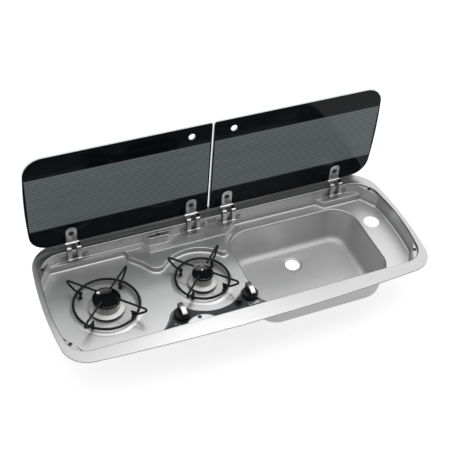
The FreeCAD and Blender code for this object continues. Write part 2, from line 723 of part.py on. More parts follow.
# Pan and the seal under its rim
shaped("pan", pressed_pan())
seal_inset = num("seal_inset")
seal_ring = rim_face(seal_inset).cut(rim_face(seal_inset + num("seal_width")))
shaped("rim_seal", main_face(seal_ring).extrude(Vector(0, 0, level("sheet"))))


# Control panel on the front plateau
def panel_face():
    nose_part, tip_part = plateau(-1)
    whole = main_face(nose_part.fuse(tip_part).removeSplitter())
    walls = tray_levels()[2][0]
    return main_face(main_face(whole.common(walls)).makeOffset2D(-num("panel_inset")))


panel = panel_face().extrude(Vector(0, 0, num("panel_thick")))
panel.translate(Vector(0, 0, level("plateau_drop")))
tap_holes = [upright_hole(f"{side}_knob_x", f"{side}_knob_y", "valve_neck") for side in ("left", "right")]
panel = panel.cut(tap_holes + [upright_hole("igniter_x", "igniter_y", "collar_neck")])
shaped("control_panel", panel.Solids[0])

PLATEAU = "rim_height - plateau_drop"
PANEL_TOP = "rim_height - plateau_drop + panel_thick"
clip = box("panel_clip", "clip_long", "clip_wide", "clip_thick",
           ("clip_x - clip_long / 2", "clip_y - clip_wide / 2", PANEL_TOP))
keep(clip, "panel_clip")


# Taps with their knobs. Heights in these bodies are measured from the plateau.
def control(side):
    at = (f"{side}_knob_x", f"{side}_knob_y", PLATEAU)
    knob_foot = "panel_thick + knob_gap"
    spindle_top = f"{knob_foot} + spindle_in_knob"
    spindle_end = f"{spindle_top} - spindle_length"

    valve = new_body(f"{side}_gas_valve")
    outline = rectangle("-valve_wide / 2", "valve_wide / 2", "-valve_deep / 2", "valve_deep / 2")
    block(valve, "XY_Plane", outline, "valve_tall", "-sheet - valve_tall")
    drum(valve, "XY_Plane", "0", "0", "valve_neck", "sheet + panel_thick", "-sheet")
    groove(valve, [("0", "-pin_bore_depth"), ("pin_radius + pin_gap", "-pin_bore_depth"),
                   ("pin_radius + pin_gap", "-bore_depth"), ("spindle_radius + pin_gap", "-bore_depth"),
                   ("spindle_radius + pin_gap", "panel_thick + sheet"), ("0", "panel_thick + sheet")])
    drill(valve, "YZ_Plane", f"rail_y - {side}_knob_y", "plateau_drop - rail_drop", "rail_radius")
    put(valve, at)

    pin = new_body(f"{side}_push_pin")
    drum(pin, "XY_Plane", "0", "0", "pin_radius", "pin_length", f"{spindle_end} - pin_length")
    put(pin, at)

    spindle = new_body(f"{side}_spindle")
    drum(spindle, "XY_Plane", "0", "0", "spindle_radius", "spindle_length", spindle_end)
    put(spindle, at)

    crown_radius = "(grip_length * grip_length / 4 + grip_crown * grip_crown) / (2 * grip_crown)"

    def bar(body, top):
        """The side view of the grip bar, arched from front to back."""
        half, ends = "grip_length / 2", f"{top} - grip_crown"
        corners = rectangle(f"-{half}", half, "knob_skirt / 2", ends)
        return add_loop(sketch_on(body, "YZ_Plane"), corners, (2, "0", top, crown_radius))

    knob = new_body(f"{side}_knob")
    bar_top = "knob_height - grip_cap"
    revolve(knob, [("0", "0"), ("knob_radius", "0"), ("knob_radius", "knob_skirt / 2"),
                   ("knob_top", "knob_skirt"), ("0", "knob_skirt")])
    pad(knob, bar(knob, bar_top), "knob_grip", middle=True)
    groove(knob, [("0", "-knob_skirt"), ("spindle_radius", "-knob_skirt"),
                  ("spindle_radius", "spindle_in_knob"), ("0", "spindle_in_knob")])
    put(knob, at[:2] + (f"{PLATEAU} + {knob_foot}",))

    grip = new_body(f"{side}_knob_grip")
    pad(grip, bar(grip, "knob_height"), "knob_grip", middle=True)
    pocket(grip, bar(grip, bar_top))
    put(grip, at[:2] + (f"{PLATEAU} + {knob_foot}",))


control("left")
control("right")


# Push-button igniter
def igniter():
    at = ("igniter_x", "igniter_y", PLATEAU)
    bore = "button_radius + pin_gap"
    collar = new_body("igniter_collar")
    revolve(collar, [(bore, "-sheet"), ("collar_neck", "-sheet"), ("collar_neck", "panel_thick"),
                     ("collar_radius", "panel_thick"), ("collar_radius", "panel_thick + collar_rise / 2"),
                     ("collar_neck", "panel_thick + collar_rise"), (bore, "panel_thick + collar_rise")])
    put(collar, at)
    button = new_body("igniter_button")
    drum(button, "XY_Plane", "0", "0", "button_radius", "button_length",
         "panel_thick + button_rise - button_length")
    put(button, at)
    piezo = new_body("igniter_body")
    foot = "-sheet - igniter_length"
    revolve(piezo, [("0", foot), ("igniter_radius", foot), ("igniter_radius", "-sheet"), (bore, "-sheet"),
                    (bore, "-sheet - igniter_bore"), ("0", "-sheet - igniter_bore")])
    put(piezo, at)


igniter()


# Burners. Heights in these bodies are measured from the floor of the dish.
DISH_FLOOR = "rim_height - tray_drop - dish_drop"
SEAT = "burner_seal_thick + flange_rise"
HEAD_TOP = f"{SEAT} + head_height"


def beside_head(side, turn):
    """A place beside the burner head, from the burner's centre, at a turn from the X axis."""
    out, angle = f"({side}_head_radius + probe_offset)", f"({turn} * 1 deg)"
    return f"{out} * cos{angle}", f"{out} * sin{angle}"


def burner(side):
    at = (f"{side}_burner_x", "burner_y", DISH_FLOOR)
    head_radius = f"{side}_head_radius"
    outside = f"{head_radius} + flange_reach"

    seal = new_body(f"{side}_burner_seal")
    revolve(seal, [(f"{outside} - burner_seal_width", "0"), (outside, "0"), (outside, "burner_seal_thick"),
                   (f"{outside} - burner_seal_width", "burner_seal_thick")])
    put(seal, at)

    throat = f"{head_radius} - throat_inset"
    base = new_body(f"{side}_burner_base")
    revolve(base, [(f"{throat} - throat_wall", "-throat_depth"), (throat, "-throat_depth"),
                   (throat, "burner_seal_thick"), (outside, "burner_seal_thick"),
                   (outside, "burner_seal_thick + flange_lip"), (f"{head_radius} + seat_step", SEAT),
                   (f"{throat} - throat_wall", SEAT)])
    drill(base, "XY_Plane", *beside_head(side, "probe_turn"), "probe_radius")
    drill(base, "XY_Plane", *beside_head(side, "spark_turn"), "sleeve_radius")
    put(base, at)

    head = new_body(f"{side}_burner_head")
    revolve(head, [(f"{head_radius} - head_wall", SEAT), (head_radius, SEAT), (head_radius, HEAD_TOP),
                   (f"{head_radius} - head_wall", HEAD_TOP)])
    port_top = f"{HEAD_TOP} - port_below_cap"
    port_foot = f"{port_top} - port_height"
    port = pocket_one_way(head, rectangle("-port_width / 2", "port_width / 2", port_foot, port_top))
    turn_pattern(head, [port], "port_count")
    put(head, at)

    cap = new_body(f"{side}_burner_cap")
    rim = f"{head_radius} + cap_overhang"
    spigot = f"{head_radius} - head_wall - fit_gap"
    revolve(cap, [("0", f"{HEAD_TOP} - cap_spigot"), (spigot, f"{HEAD_TOP} - cap_spigot"), (spigot, HEAD_TOP),
                  (rim, HEAD_TOP), (rim, f"{HEAD_TOP} + cap_rise"), ("0", f"{HEAD_TOP} + cap_rise")])
    round_edges(cap, "cap_edge", ring_at(rim, f"{HEAD_TOP} + cap_rise"))
    put(cap, at)

    cup = new_body(f"{side}_mixing_cup")
    cup_wall = f"{throat} + cup_wall"
    cup_floor = "cup_wall - cup_depth"
    revolve(cup, [("jet_radius", "-cup_depth"), (cup_wall, "-cup_depth"), (cup_wall, "-cup_top"),
                  (throat, "-cup_top"), (throat, cup_floor), ("jet_radius", cup_floor)])
    drill(cup, "XZ_Plane", "0", "air_hole * 1.5 + cup_wall - cup_depth", "air_hole")
    put(cup, at)

    jet = new_body(f"{side}_gas_jet")
    half = "jet_block / 2"
    outline = rectangle(f"-{half}", half, f"-{half}", half)
    block(jet, "XY_Plane", outline, "jet_depth - cup_depth", "-jet_depth")
    drum(jet, "XY_Plane", "0", "0", "jet_radius", "cup_depth - jet_top", "-cup_depth")
    put(jet, at)


burner("left")
burner("right")


def probe_place(side, turn):
    along, back = beside_head(side, turn)
    return f"{side}_burner_x + {along}", f"burner_y + {back}", f"{DISH_FLOOR} - probe_depth"


group("thermocouples", [cylinder(f"{side}_thermocouple", "probe_radius", "probe_top + probe_depth",
                                 probe_place(side, "probe_turn")) for side in ("left", "right")])


def spark(side):
    at = probe_place(side, "spark_turn")
    sleeve = cylinder(f"{side}_spark_sleeve", "sleeve_radius", "sleeve_top + probe_depth", at)
    wire = cylinder(f"{side}_spark_wire", "spark_radius", "probe_top + probe_depth", at)
    return fuse(f"{side}_spark", [sleeve, wire])


group("spark_electrodes", [spark("left"), spark("right")])


# Wire pan supports
def bent_bar(points, radius, bend):
    """A round bar along a line of points, bent to a radius at each corner."""
    edges, start = [], points[0]
    for before, corner, after in zip(points, points[1:], points[2:]):
        back, on = (before - corner).normalize(), (after - corner).normalize()
        half = back.getAngle(on) / 2
        first, last = corner + back * (bend / math.tan(half)), corner + on * (bend / math.tan(half))
        middle = corner + (back + on).normalize() * (bend / math.sin(half) - bend)
        edges += [Part.makeLine(start, first), Part.Arc(first, middle, last).toShape()]
        start = last
    edges.append(Part.makeLine(start, points[-1]))
    end_ring = Part.Wire(Part.makeCircle(radius, points[0], points[1] - points[0]))
    return Part.Wire(edges).makePipeShell([end_ring], True, True)


def pan_support(side, centre):
    ring, inner = sizes(f"{side}_ring_radius", f"{side}_arm_inner")
    ring_wire, arm_wire, bend = sizes("ring_wire", "arm_wire", "arm_bend")
    reach, foot, heel = sizes("arm_reach", "arm_foot", "arm_heel")
    ring_height = level("ring_drop")
    low = ring_height + num("ring_wire + arm_wire - weld")
    high = level("arm_top_drop + arm_wire")
    wire = Part.makeTorus(ring, ring_wire, Vector(*centre, ring_height))
    path = [(inner, high), (ring + reach, high), (ring + heel, low), (ring - foot, low)]
    arm = bent_bar([Vector(centre[0] + out, centre[1], height) for out, height in path], arm_wire, bend)
    arms = []
    for quarter in range(4):
        turned = arm.copy()
        turned.rotate(Vector(*centre, 0), Vector(0, 0, 1), num("arm_turn") + 90 * quarter)
        arms.append(turned)
    shaped(f"{side}_pan_support", wire.fuse(arms).removeSplitter().Solids[0])
    feet = []
    for quarter in range(4):
        turn = f"(arm_turn + {90 * quarter}) * 1 deg"
        out = f"({side}_ring_radius - foot_reach)"
        at = (f"{side}_burner_x + {out} * cos({turn})", f"burner_y + {out} * sin({turn})", DISH_FLOOR)
        feet.append(cylinder(f"{side}_foot", "foot_radius",
                             "tray_drop + dish_drop - ring_drop + ring_wire - weld", at))
    group(f"{side}_support_feet", feet)


pan_support("left", left_burner)
pan_support("right", right_burner)


# Gas rail, pipes to the burners and the inlet
rail = new_body("gas_rail")
drum(rail, "YZ_Plane", "0", "0", "rail_radius", "rail_right - rail_left")
drum(rail, "XZ_Plane", "rail_radius", "0", "rail_boss_radius", "rail_boss", "-rail_boss")
put(rail, ("rail_left", "rail_y", "rim_height - rail_drop"))
inlet = new_body("gas_inlet")
drum(inlet, "XY_Plane", "0", "0", "inlet_radius", "inlet_length")
drum(inlet, "XY_Plane", "0", "0", "inlet_nut", "inlet_nut_length",
     "inlet_length - inlet_tail - inlet_nut_length")
put(inlet, ("rail_left + rail_radius", "rail_y + rail_boss", "rim_height - rail_drop"), ALONG_Y)


def feed_pipe(side, centre):
    start_x, start_y = sizes(f"{side}_knob_x", f"{side}_knob_y + valve_deep / 2")
    high, along = level("pipe_drop"), num("pipe_y")
    low = num(f"{DISH_FLOOR} - (jet_depth + cup_depth) / 2")
    end_y = num("burner_y - jet_block / 2")
    points = [Vector(start_x, start_y, high), Vector(start_x, along, high), Vector(centre[0], along, high),
              Vector(centre[0], along, low), Vector(centre[0], end_y, low)]
    shaped(f"{side}_feed_pipe", bent_bar(points, num("pipe_radius"), num("pipe_bend")))


feed_pipe("left", left_burner)
feed_pipe("right", right_burner)


# Glass lids, standing open
LID_FOOT = "rim_height + lid_lift"
LID_TOP = f"{LID_FOOT} + lid_height"
LID_SCREW = f"{LID_FOOT} + lid_screw_up"


def lid(side):
    sign = "-" if side == "left" else ""
    inner, outer = f"{sign}lid_gap / 2", f"{sign}(lid_half - lid_bow)"
    bow = (f"{sign}lid_half", f"({LID_FOOT} + {LID_TOP}) / 2",
           "(lid_height * lid_height / 4 + lid_bow * lid_bow) / (2 * lid_bow)")
    if side == "left":
        corners, bowed_side = [(outer, LID_FOOT), (inner, LID_FOOT), (inner, LID_TOP), (outer, LID_TOP)], 3
    else:
        corners, bowed_side = [(inner, LID_FOOT), (outer, LID_FOOT), (outer, LID_TOP), (inner, LID_TOP)], 1
    glass = new_body(f"{side}_lid_glass")
    sketch = add_loop(sketch_on(glass, "XZ_Plane", "-lid_y - lid_thick"), corners, (bowed_side,) + bow)
    pad(glass, sketch, "lid_thick")

    def corner_at(x):
        return lambda edge: (edge.BoundBox.XLength < 1e-3 and edge.BoundBox.ZLength < 1e-3
                             and abs(edge.BoundBox.XMin - num(x)) < 1e-2)

    round_edges(glass, "lid_corner", corner_at(outer))
    round_edges(glass, "lid_inner_corner", corner_at(inner))
    drill(glass, "XZ_Plane", f"{sign}finger_x", f"{LID_TOP} - finger_below_top", "finger_radius")
    for hinge_side, place, x in HINGES:
        if hinge_side == side:
            drill(glass, "XZ_Plane", x, LID_SCREW, "glass_hole")


lid("left")
lid("right")


# Hinges. Heights and depths in these bodies are measured from the pivot.
RISE = "(pivot_drop + lid_lift)"
SHOULDER = "(pivot_drop + shoulder_lift)"
TONGUE_BACK = "(lid_y - pad_thick - pivot_y)"
WALL = "(tray_back - pivot_y)"


def bends_at(corners):
    """Picks the edges along X that pass through corners of the arm's side view."""
    spots = [(num(y), num(z)) for y, z in corners]

    def chosen(edge):
        bounds = edge.BoundBox
        return bounds.YLength < 1e-3 and bounds.ZLength < 1e-3 and any(
            math.hypot(bounds.YMin - y, bounds.ZMin - z) < 1e-2 for y, z in spots)
    return chosen


def hinge_arm(side, place, x):
    arm = new_body(f"{side}_{place}_hinge_arm")
    half, tongue_top, slot = "arm_sheet / 2", f"{RISE} + tongue_top", "strap_gap / 2"
    block(arm, "YZ_Plane", [
        (f"-{half}", "0"), (half, "0"), (half, SHOULDER), (TONGUE_BACK, SHOULDER), (TONGUE_BACK, tongue_top),
        (f"{TONGUE_BACK} - arm_sheet", tongue_top), (f"{TONGUE_BACK} - arm_sheet", f"{SHOULDER} + arm_sheet"),
        (f"-{half}", f"{SHOULDER} + arm_sheet")], "arm_width", middle=True)
    outer_bends = [(f"-{half}", f"{SHOULDER} + arm_sheet"), (TONGUE_BACK, SHOULDER)]
    inner_bends = [(half, SHOULDER), (f"{TONGUE_BACK} - arm_sheet", f"{SHOULDER} + arm_sheet")]
    round_edges(arm, "strap_bend + arm_sheet", bends_at(outer_bends))
    round_edges(arm, "strap_bend", bends_at(inner_bends))
    drum(arm, "YZ_Plane", "0", "0", "eye_radius", "arm_width", middle=True)
    mouth = rectangle(f"-{slot}", slot, "-eye_radius * 2", "slot_reach")
    pocket(arm, add_loop(sketch_on(arm, "XY_Plane"), mouth))
    pocket(arm, add_circle(sketch_on(arm, "XY_Plane"), "0", "slot_reach", slot))
    shoulders = sketch_on(arm, "XZ_Plane")
    low, high = f"{SHOULDER} + arm_sheet * 1.5", f"{tongue_top} + arm_width"
    add_loop(shoulders, rectangle("tongue_width / 2", "arm_width", low, high))
    add_loop(shoulders, rectangle("-arm_width", "-tongue_width / 2", low, high))
    pocket(arm, shoulders)
    round_edges(arm, "tongue_round", lambda edge: edge.BoundBox.ZMin > num(tongue_top) - 1e-3
                and edge.BoundBox.XLength < 1e-3)
    drill(arm, "YZ_Plane", "0", "0", "hinge_pin_radius + pin_gap")
    drill(arm, "XZ_Plane", "0", f"{RISE} + lid_screw_up", "lid_screw_shank")
    put(arm, (x, "pivot_y", PIVOT_HEIGHT))


def hinge_bracket(side, place, x):
    bracket = new_body(f"{side}_{place}_hinge_bracket")
    knuckle = "strap_gap - knuckle_gap * 2"
    plate = rectangle("-bracket_width / 2", "bracket_width / 2", "-bracket_down", "bracket_up")
    block(bracket, "XZ_Plane", plate, "bracket_sheet", f"-{WALL}")
    drum(bracket, "YZ_Plane", "0", "0", "eye_radius", knuckle, middle=True)
    block(bracket, "YZ_Plane", rectangle("0", f"{WALL} - bracket_sheet / 2", "-web_half", "web_half"),
          knuckle, middle=True)
    drill(bracket, "YZ_Plane", "0", "0", "hinge_pin_radius")
    for sign in ("", "-"):
        drill(bracket, "XZ_Plane", f"{sign}rivet_x", "rivet_up", "rivet_shank")
    put(bracket, (x, "pivot_y", PIVOT_HEIGHT))


for hinge in HINGES:
    hinge_arm(*hinge)
for hinge in HINGES:
    hinge_bracket(*hinge)
group("hinge_pins", [cylinder(f"{side}_{place}_pin", "hinge_pin_radius", "arm_width",
                              (f"{x} - arm_width / 2", "pivot_y", PIVOT_HEIGHT), ALONG_X)
                     for side, place, x in HINGES])


def rivet(x):
    head_y = "tray_back - bracket_sheet - rivet_rise"
    front = cylinder("rivet_head", "rivet_radius", "rivet_rise", (x, head_y, RIVET_HEIGHT), ALONG_Y)
    shank = cylinder("rivet_shank", "rivet_shank", "bracket_sheet + sheet + rivet_rise * 2",
                     (x, head_y, RIVET_HEIGHT), ALONG_Y)
    tail = cylinder("rivet_tail", "rivet_radius", "rivet_rise",
                    (x, "tray_back + sheet", RIVET_HEIGHT), ALONG_Y)
    return fuse("rivet", [front, shank, tail])


group("hinge_rivets", [rivet(x) for x in RIVETS])


# Screws, washers and cap nuts that hold the glass to the hinges
GLASS_BACK = "lid_y + lid_thick"
TONGUE_FRONT = "(lid_y - pad_thick - arm_sheet)"


def lid_screw(x):
    head = cylinder("lid_screw_head", "lid_screw_head", "lid_screw_rise",
                    (x, f"{TONGUE_FRONT} - lid_screw_rise", LID_SCREW), ALONG_Y)
    length = f"{GLASS_BACK} - {TONGUE_FRONT} + lid_nut_rise / 2"
    shank = cylinder("lid_screw_shank", "lid_screw_shank", length, (x, TONGUE_FRONT, LID_SCREW), ALONG_Y)
    return fuse("lid_screw", [head, shank])


def lid_pad(x):
    disc = cylinder("lid_pad", "pad_radius", "pad_thick", (x, "lid_y - pad_thick", LID_SCREW), ALONG_Y)
    bore = cylinder("lid_pad_bore", "lid_screw_shank", "pad_thick",
                    (x, "lid_y - pad_thick", LID_SCREW), ALONG_Y)
    return cut("lid_washer", disc, bore)


def lid_nut(x):
    dome = cylinder("lid_nut_dome", "lid_nut_radius", "lid_nut_rise", (x, GLASS_BACK, LID_SCREW), ALONG_Y)
    bore = cylinder("lid_nut_bore", "lid_screw_shank", "lid_nut_rise / 2",
                    (x, GLASS_BACK, LID_SCREW), ALONG_Y)
    return cut("lid_nut", dome, bore)


for lid_side in ("left", "right"):
    places = [x for side, place, x in HINGES if side == lid_side]
    group(f"{lid_side}_lid_screws", [lid_screw(x) for x in places])
    group(f"{lid_side}_lid_washers", [lid_pad(x) for x in places])
    group(f"{lid_side}_lid_nuts", [lid_nut(x) for x in places])


# Small angle on the back wall between the inner hinges
angle = new_body("centre_bracket")
flange = rectangle("-centre_wide / 2", "centre_wide / 2", "-centre_tall", "0")
block(angle, "XZ_Plane", flange, "bracket_sheet")
tab = rectangle("-centre_wide / 4", "centre_wide / 4", "-centre_tall", "bracket_sheet - centre_tall")
block(angle, "XZ_Plane", tab, "centre_foot")
for sign in ("", "-"):
    drill(angle, "XZ_Plane", f"{sign}centre_hole_x", "-centre_tall / 2", "centre_hole")
put(angle, ("centre_x", "tray_back", "rim_height - centre_below"))


# Nothing is written unless every object is sound
doc.recompute()
for obj in doc.Objects:
    if "Invalid" in obj.State or "Error" in obj.State:
        raise RuntimeError(f"{obj.Label} did not compute")
for obj in sub_parts:
    if obj.Shape.isNull() or not obj.Shape.isValid() or not obj.Shape.Solids:
        raise RuntimeError(f"{obj.Label} has no sound shape")
os.makedirs("parts", exist_ok=True)
for obj in sub_parts:
    obj.Shape.exportStep(f"parts/{obj.Label}.step")
print(len(sub_parts), "sub-parts written")
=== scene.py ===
# %% [markdown]
# # A hob and sink unit
# One stainless pressing carries two gas burners and a bowl, under two glass lids that hinge at the back.
# The measured solids are loaded first and stay where they are. Every later cell dresses them, with eased
# edges, finer small parts and finishes, and each new piece rides on the body that its solid belongs to.

# %% Load the measured solids
import json
import math
import bmesh
import bpy
from mathutils import Matrix, Vector


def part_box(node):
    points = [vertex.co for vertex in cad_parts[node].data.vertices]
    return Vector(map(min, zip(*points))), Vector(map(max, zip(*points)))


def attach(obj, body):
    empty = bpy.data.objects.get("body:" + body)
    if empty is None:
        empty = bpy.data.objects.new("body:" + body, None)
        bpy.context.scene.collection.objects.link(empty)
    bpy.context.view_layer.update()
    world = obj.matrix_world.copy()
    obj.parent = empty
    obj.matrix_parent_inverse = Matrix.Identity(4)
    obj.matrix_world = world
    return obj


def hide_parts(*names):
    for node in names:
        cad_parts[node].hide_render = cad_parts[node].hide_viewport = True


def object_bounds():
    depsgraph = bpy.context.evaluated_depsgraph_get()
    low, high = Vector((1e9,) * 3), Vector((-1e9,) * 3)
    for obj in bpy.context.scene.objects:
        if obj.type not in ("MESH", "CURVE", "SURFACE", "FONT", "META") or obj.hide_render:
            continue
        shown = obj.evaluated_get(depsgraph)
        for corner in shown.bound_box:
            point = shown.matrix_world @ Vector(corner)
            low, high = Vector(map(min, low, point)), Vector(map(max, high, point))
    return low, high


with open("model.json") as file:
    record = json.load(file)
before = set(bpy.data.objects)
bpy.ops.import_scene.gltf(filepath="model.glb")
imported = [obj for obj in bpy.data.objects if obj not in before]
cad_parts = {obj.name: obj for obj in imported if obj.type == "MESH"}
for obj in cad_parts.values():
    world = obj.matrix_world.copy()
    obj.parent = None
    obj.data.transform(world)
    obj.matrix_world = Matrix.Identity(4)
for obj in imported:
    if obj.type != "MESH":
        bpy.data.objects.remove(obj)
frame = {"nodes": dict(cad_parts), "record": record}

cad_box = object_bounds()
scene = bpy.context.scene
MM = 0.001
SIDES = ("left", "right")
body_of = {node: body for body, nodes in frame["record"]["behaviour"]["bodies"].items() for node in nodes}
slot_of = {part["node"]: part["material_slot"] for part in frame["record"]["subparts"]}

# %% [markdown]
# ## Camera
# The photograph was taken from the front left, well above the worktop, with the camera slightly tilted.
# Its angle, distance and lens were found from the rim, the lids and the round holes. A camera could be
# placed by eye with a constraint, but a matrix of three axes keeps the tilt exact.

# %% Camera at the photograph's angle
PHOTO_PIXELS = 450
FOCAL_PIXELS = 938.9
SENSOR = 36
AZIMUTH, ELEVATION, TILT = (math.radians(angle) for angle in (-26.17, 44.12, 4.99))
SIGHT = Vector((0, -13.5, 2.5)) * MM
DISTANCE, ASIDE, ABOVE = 2152.1 * MM, -27.6 * MM, 87.6 * MM

level = math.cos(ELEVATION)
back = Vector((math.sin(AZIMUTH) * level, -math.cos(AZIMUTH) * level, math.sin(ELEVATION)))
level_right = Vector((math.cos(AZIMUTH), math.sin(AZIMUTH), 0))
level_up = back.cross(level_right)
right = level_right * math.cos(TILT) + level_up * math.sin(TILT)
up = level_up * math.cos(TILT) - level_right * math.sin(TILT)
camera = bpy.data.objects.new("camera", bpy.data.cameras.new("camera"))
camera.data.sensor_width = SENSOR
camera.data.lens = SENSOR * FOCAL_PIXELS / PHOTO_PIXELS
place = SIGHT + back * DISTANCE + right * ASIDE + up * ABOVE
camera.matrix_world = Matrix.Translation(place) @ Matrix((right, up, back)).transposed().to_4x4()
scene.collection.objects.link(camera)
scene.camera = camera
print("camera at", camera.location, "lens", round(camera.data.lens, 2))

# %% [markdown]
# ## A small language for shaders
# A finish is a tree of nodes, and sums of masks soon need dozens of Math nodes. Wiring each by hand hides
# the idea, so one class wraps an output and lets Python's own operators add the Math nodes. Every other
# node comes from one method, which sets the node's settings first and then its sockets.

# %% Sockets that can be added, trees and finishes
class Flow:
    """One output of a node. Arithmetic on it adds Math nodes to the tree."""

    def __init__(self, tree, socket):
        self.tree = tree
        self.socket = socket

    def maths(self, operation, first, second=0.0):
        return self.tree.node("ShaderNodeMath", {"operation": operation}, {0: first, 1: second})

    def __add__(self, other):
        return self.maths("ADD", self, other)

    def __sub__(self, other):
        return self.maths("SUBTRACT", self, other)

    def __rsub__(self, other):
        return self.maths("SUBTRACT", other, self)

    def __mul__(self, other):
        return self.maths("MULTIPLY", self, other)

    def __abs__(self):
        return self.maths("ABSOLUTE", self)

    __radd__ = __add__
    __rmul__ = __mul__


class Tree:
    """A shader tree and the one way that nodes are added to it."""

    def __init__(self, tree):
        self.tree = tree

    def feed(self, node, sockets):
        for key, value in sockets.items():
            if isinstance(value, Flow):
                self.tree.links.new(value.socket, node.inputs[key])
            else:
                node.inputs[key].default_value = value

    def node(self, kind, settings=None, sockets=None, outlet=0):
        made = self.tree.nodes.new(kind)
        for key, value in (settings or {}).items():
            setattr(made, key, value)
        self.feed(made, sockets or {})
        return Flow(self, made.outputs[outlet])

    def coordinates(self, kind="Object"):
        return self.node("ShaderNodeTexCoord", outlet=kind)

    def axes(self, vector):
        split = self.node("ShaderNodeSeparateXYZ", sockets={0: vector}).socket.node
        return [Flow(self, outlet) for outlet in split.outputs]

    def noise(self, stretch, detail=2.0):
        """Noise in the object's own space, from 0 to 1. Stretch gives its cells to the metre on each axis."""
        scaled = {0: self.coordinates(), 1: stretch}
        scaled = self.node("ShaderNodeVectorMath", {"operation": "MULTIPLY"}, scaled)
        return self.node("ShaderNodeTexNoise", sockets={"Vector": scaled, "Scale": 1.0, "Detail": detail})

    def step(self, value, low, high):
        """0 below low, 1 above high, and smooth between them."""
        ends = {0: value, 1: low, 2: high}
        return self.node("ShaderNodeMapRange", {"interpolation_type": "SMOOTHSTEP"}, ends)

    def blend(self, share, first, second):
        """A colour between two others."""
        pair = {0: share, 6: first, 7: second}
        return self.node("ShaderNodeMix", {"data_type": "RGBA"}, pair, outlet=2)

    def bump(self, height, depth):
        return self.node("ShaderNodeBump", sockets={"Strength": 1.0, "Distance": depth, "Height": height})


class Finish(Tree):
    """A material with one shader, whose sockets are named with _ for a space."""

    def __init__(self, name, **constants):
        self.material = bpy.data.materials.new(name)
        self.material.use_nodes = True
        super().__init__(self.material.node_tree)
        self.shader = self.tree.nodes["Principled BSDF"]
        self.coat(**constants)

    def coat(self, **sockets):
        self.feed(self.shader, {key.replace("_", " "): value for key, value in sockets.items()})
        return self.material


def grey(value):
    return (value, value, value, 1.0)


print("nodes are added by", Flow.__name__, Tree.__name__, "and", Finish.__name__)

# %% [markdown]
# ## A white room
# The unit was photographed on a white ground in a bright room. A white world seen by the camera, by
# reflections and through glass gives the plain background and the pale sheen of the steel, while less of
# it lights the object. Reflections see the white at the right, behind and above the unit, and the room
# dims towards the camera's side, as a real studio does: that is what darkens the steel's upright sides.
# An even white world would be simpler, but then the bowl would look flat.

# %% World
AMBIENT = 0.80
BRIGHT_SIDE = Vector((0.62, 0.45, 0.64))
DIM_SIDE_LIGHT = 0.15
DIM_FROM, BRIGHT_FROM = 0.45, 0.95


def background_rays(tree):
    """1 for rays that should see the white background: the camera's, and those of metal and glass."""
    total = tree.node("ShaderNodeLightPath", outlet="Is Camera Ray")
    path = total.socket.node
    for name in ("Is Glossy Ray", "Is Transmission Ray"):
        total = total.maths("MAXIMUM", total, Flow(tree, path.outputs[name]))
    return total


scene.view_settings.view_transform = "Standard"
world = bpy.data.worlds.new("white_room")
world.use_nodes = True
scene.world = world
sky = Tree(world.node_tree)
strength = AMBIENT + (1 - AMBIENT) * background_rays(sky)
directions = {0: sky.coordinates("Generated"), 1: BRIGHT_SIDE.normalized()}
towards = sky.node("ShaderNodeVectorMath", {"operation": "DOT_PRODUCT"}, directions, outlet="Value")
room = DIM_SIDE_LIGHT + (1 - DIM_SIDE_LIGHT) * sky.step(towards, DIM_FROM, BRIGHT_FROM)
mirrored = sky.node("ShaderNodeLightPath", outlet="Is Glossy Ray")
shown = sky.blend(mirrored, grey(1.0), room)
sky.feed(sky.tree.nodes["Background"], {"Color": shown, "Strength": strength})
print("world:", world.name, "lights the object at", AMBIENT)

# %% [markdown]
# ## Lamps and a dark card
# One large soft lamp hangs overhead, and a small one puts a spark on glossy enamel. A dark card behind
# the lids, seen by reflections alone, keeps the rim's back edge from mirroring the bright room under
# them. A darker tone in the steel would dull the rim from every side, so a card does it, as a photographer
# would.

# %% Lamps and card
AIM = Vector((0, 0, 0))
CARD_Y, CARD_LOW, CARD_HIGH, CARD_HALF = 205 * MM, 2.6 * MM, 262 * MM, 430 * MM


def lamp(name, place, wide, tall, watts):
    """A soft rectangular lamp turned to the middle of the unit."""
    light = bpy.data.lights.new(name, "AREA")
    light.shape = "RECTANGLE"
    light.size = wide
    light.size_y = tall
    light.energy = watts
    holder = bpy.data.objects.new(name, light)
    holder.location = place
    holder.rotation_mode = "QUATERNION"
    holder.rotation_quaternion = (AIM - Vector(place)).to_track_quat("-Z", "Y")
    scene.collection.objects.link(holder)


lamp("overhead_lamp", place=(0.0, 0.0, 2.5), wide=3.0, tall=2.2, watts=26)
lamp("small_lamp", place=(0.49, 1.01, 2.12), wide=0.15, tall=0.15, watts=2.2)

dark_card = Finish("dark_card_paint", Roughness=0.9, Specular_IOR_Level=0.1)
dark_card.coat(Base_Color=dark_card.blend(dark_card.noise((3, 3, 3)), grey(0.03), grey(0.05)))
low_edge = [(-CARD_HALF, CARD_Y, CARD_LOW), (CARD_HALF, CARD_Y, CARD_LOW)]
high_edge = [(CARD_HALF, CARD_Y, CARD_HIGH), (-CARD_HALF, CARD_Y, CARD_HIGH)]
card_mesh = bpy.data.meshes.new("dark_card")
card_mesh.from_pydata(low_edge + high_edge, [], [(0, 1, 2, 3)])
card_mesh.materials.append(dark_card.material)
card = bpy.data.objects.new("dark_card", card_mesh)
scene.collection.objects.link(card)
card.visible_camera = False
card.visible_diffuse = False
card.visible_shadow = False
print("lamps:", [light.name for light in bpy.data.lights])

# %% [markdown]
# ## Ground
# The ground takes the shadow and adds a glow that only the camera, reflections and glass see, so that it
# stays white. More light would whiten it too, but it would burn out the steel.

# %% Ground
GROUND_GLOW = 0.66
GROUND_SIZE = 14

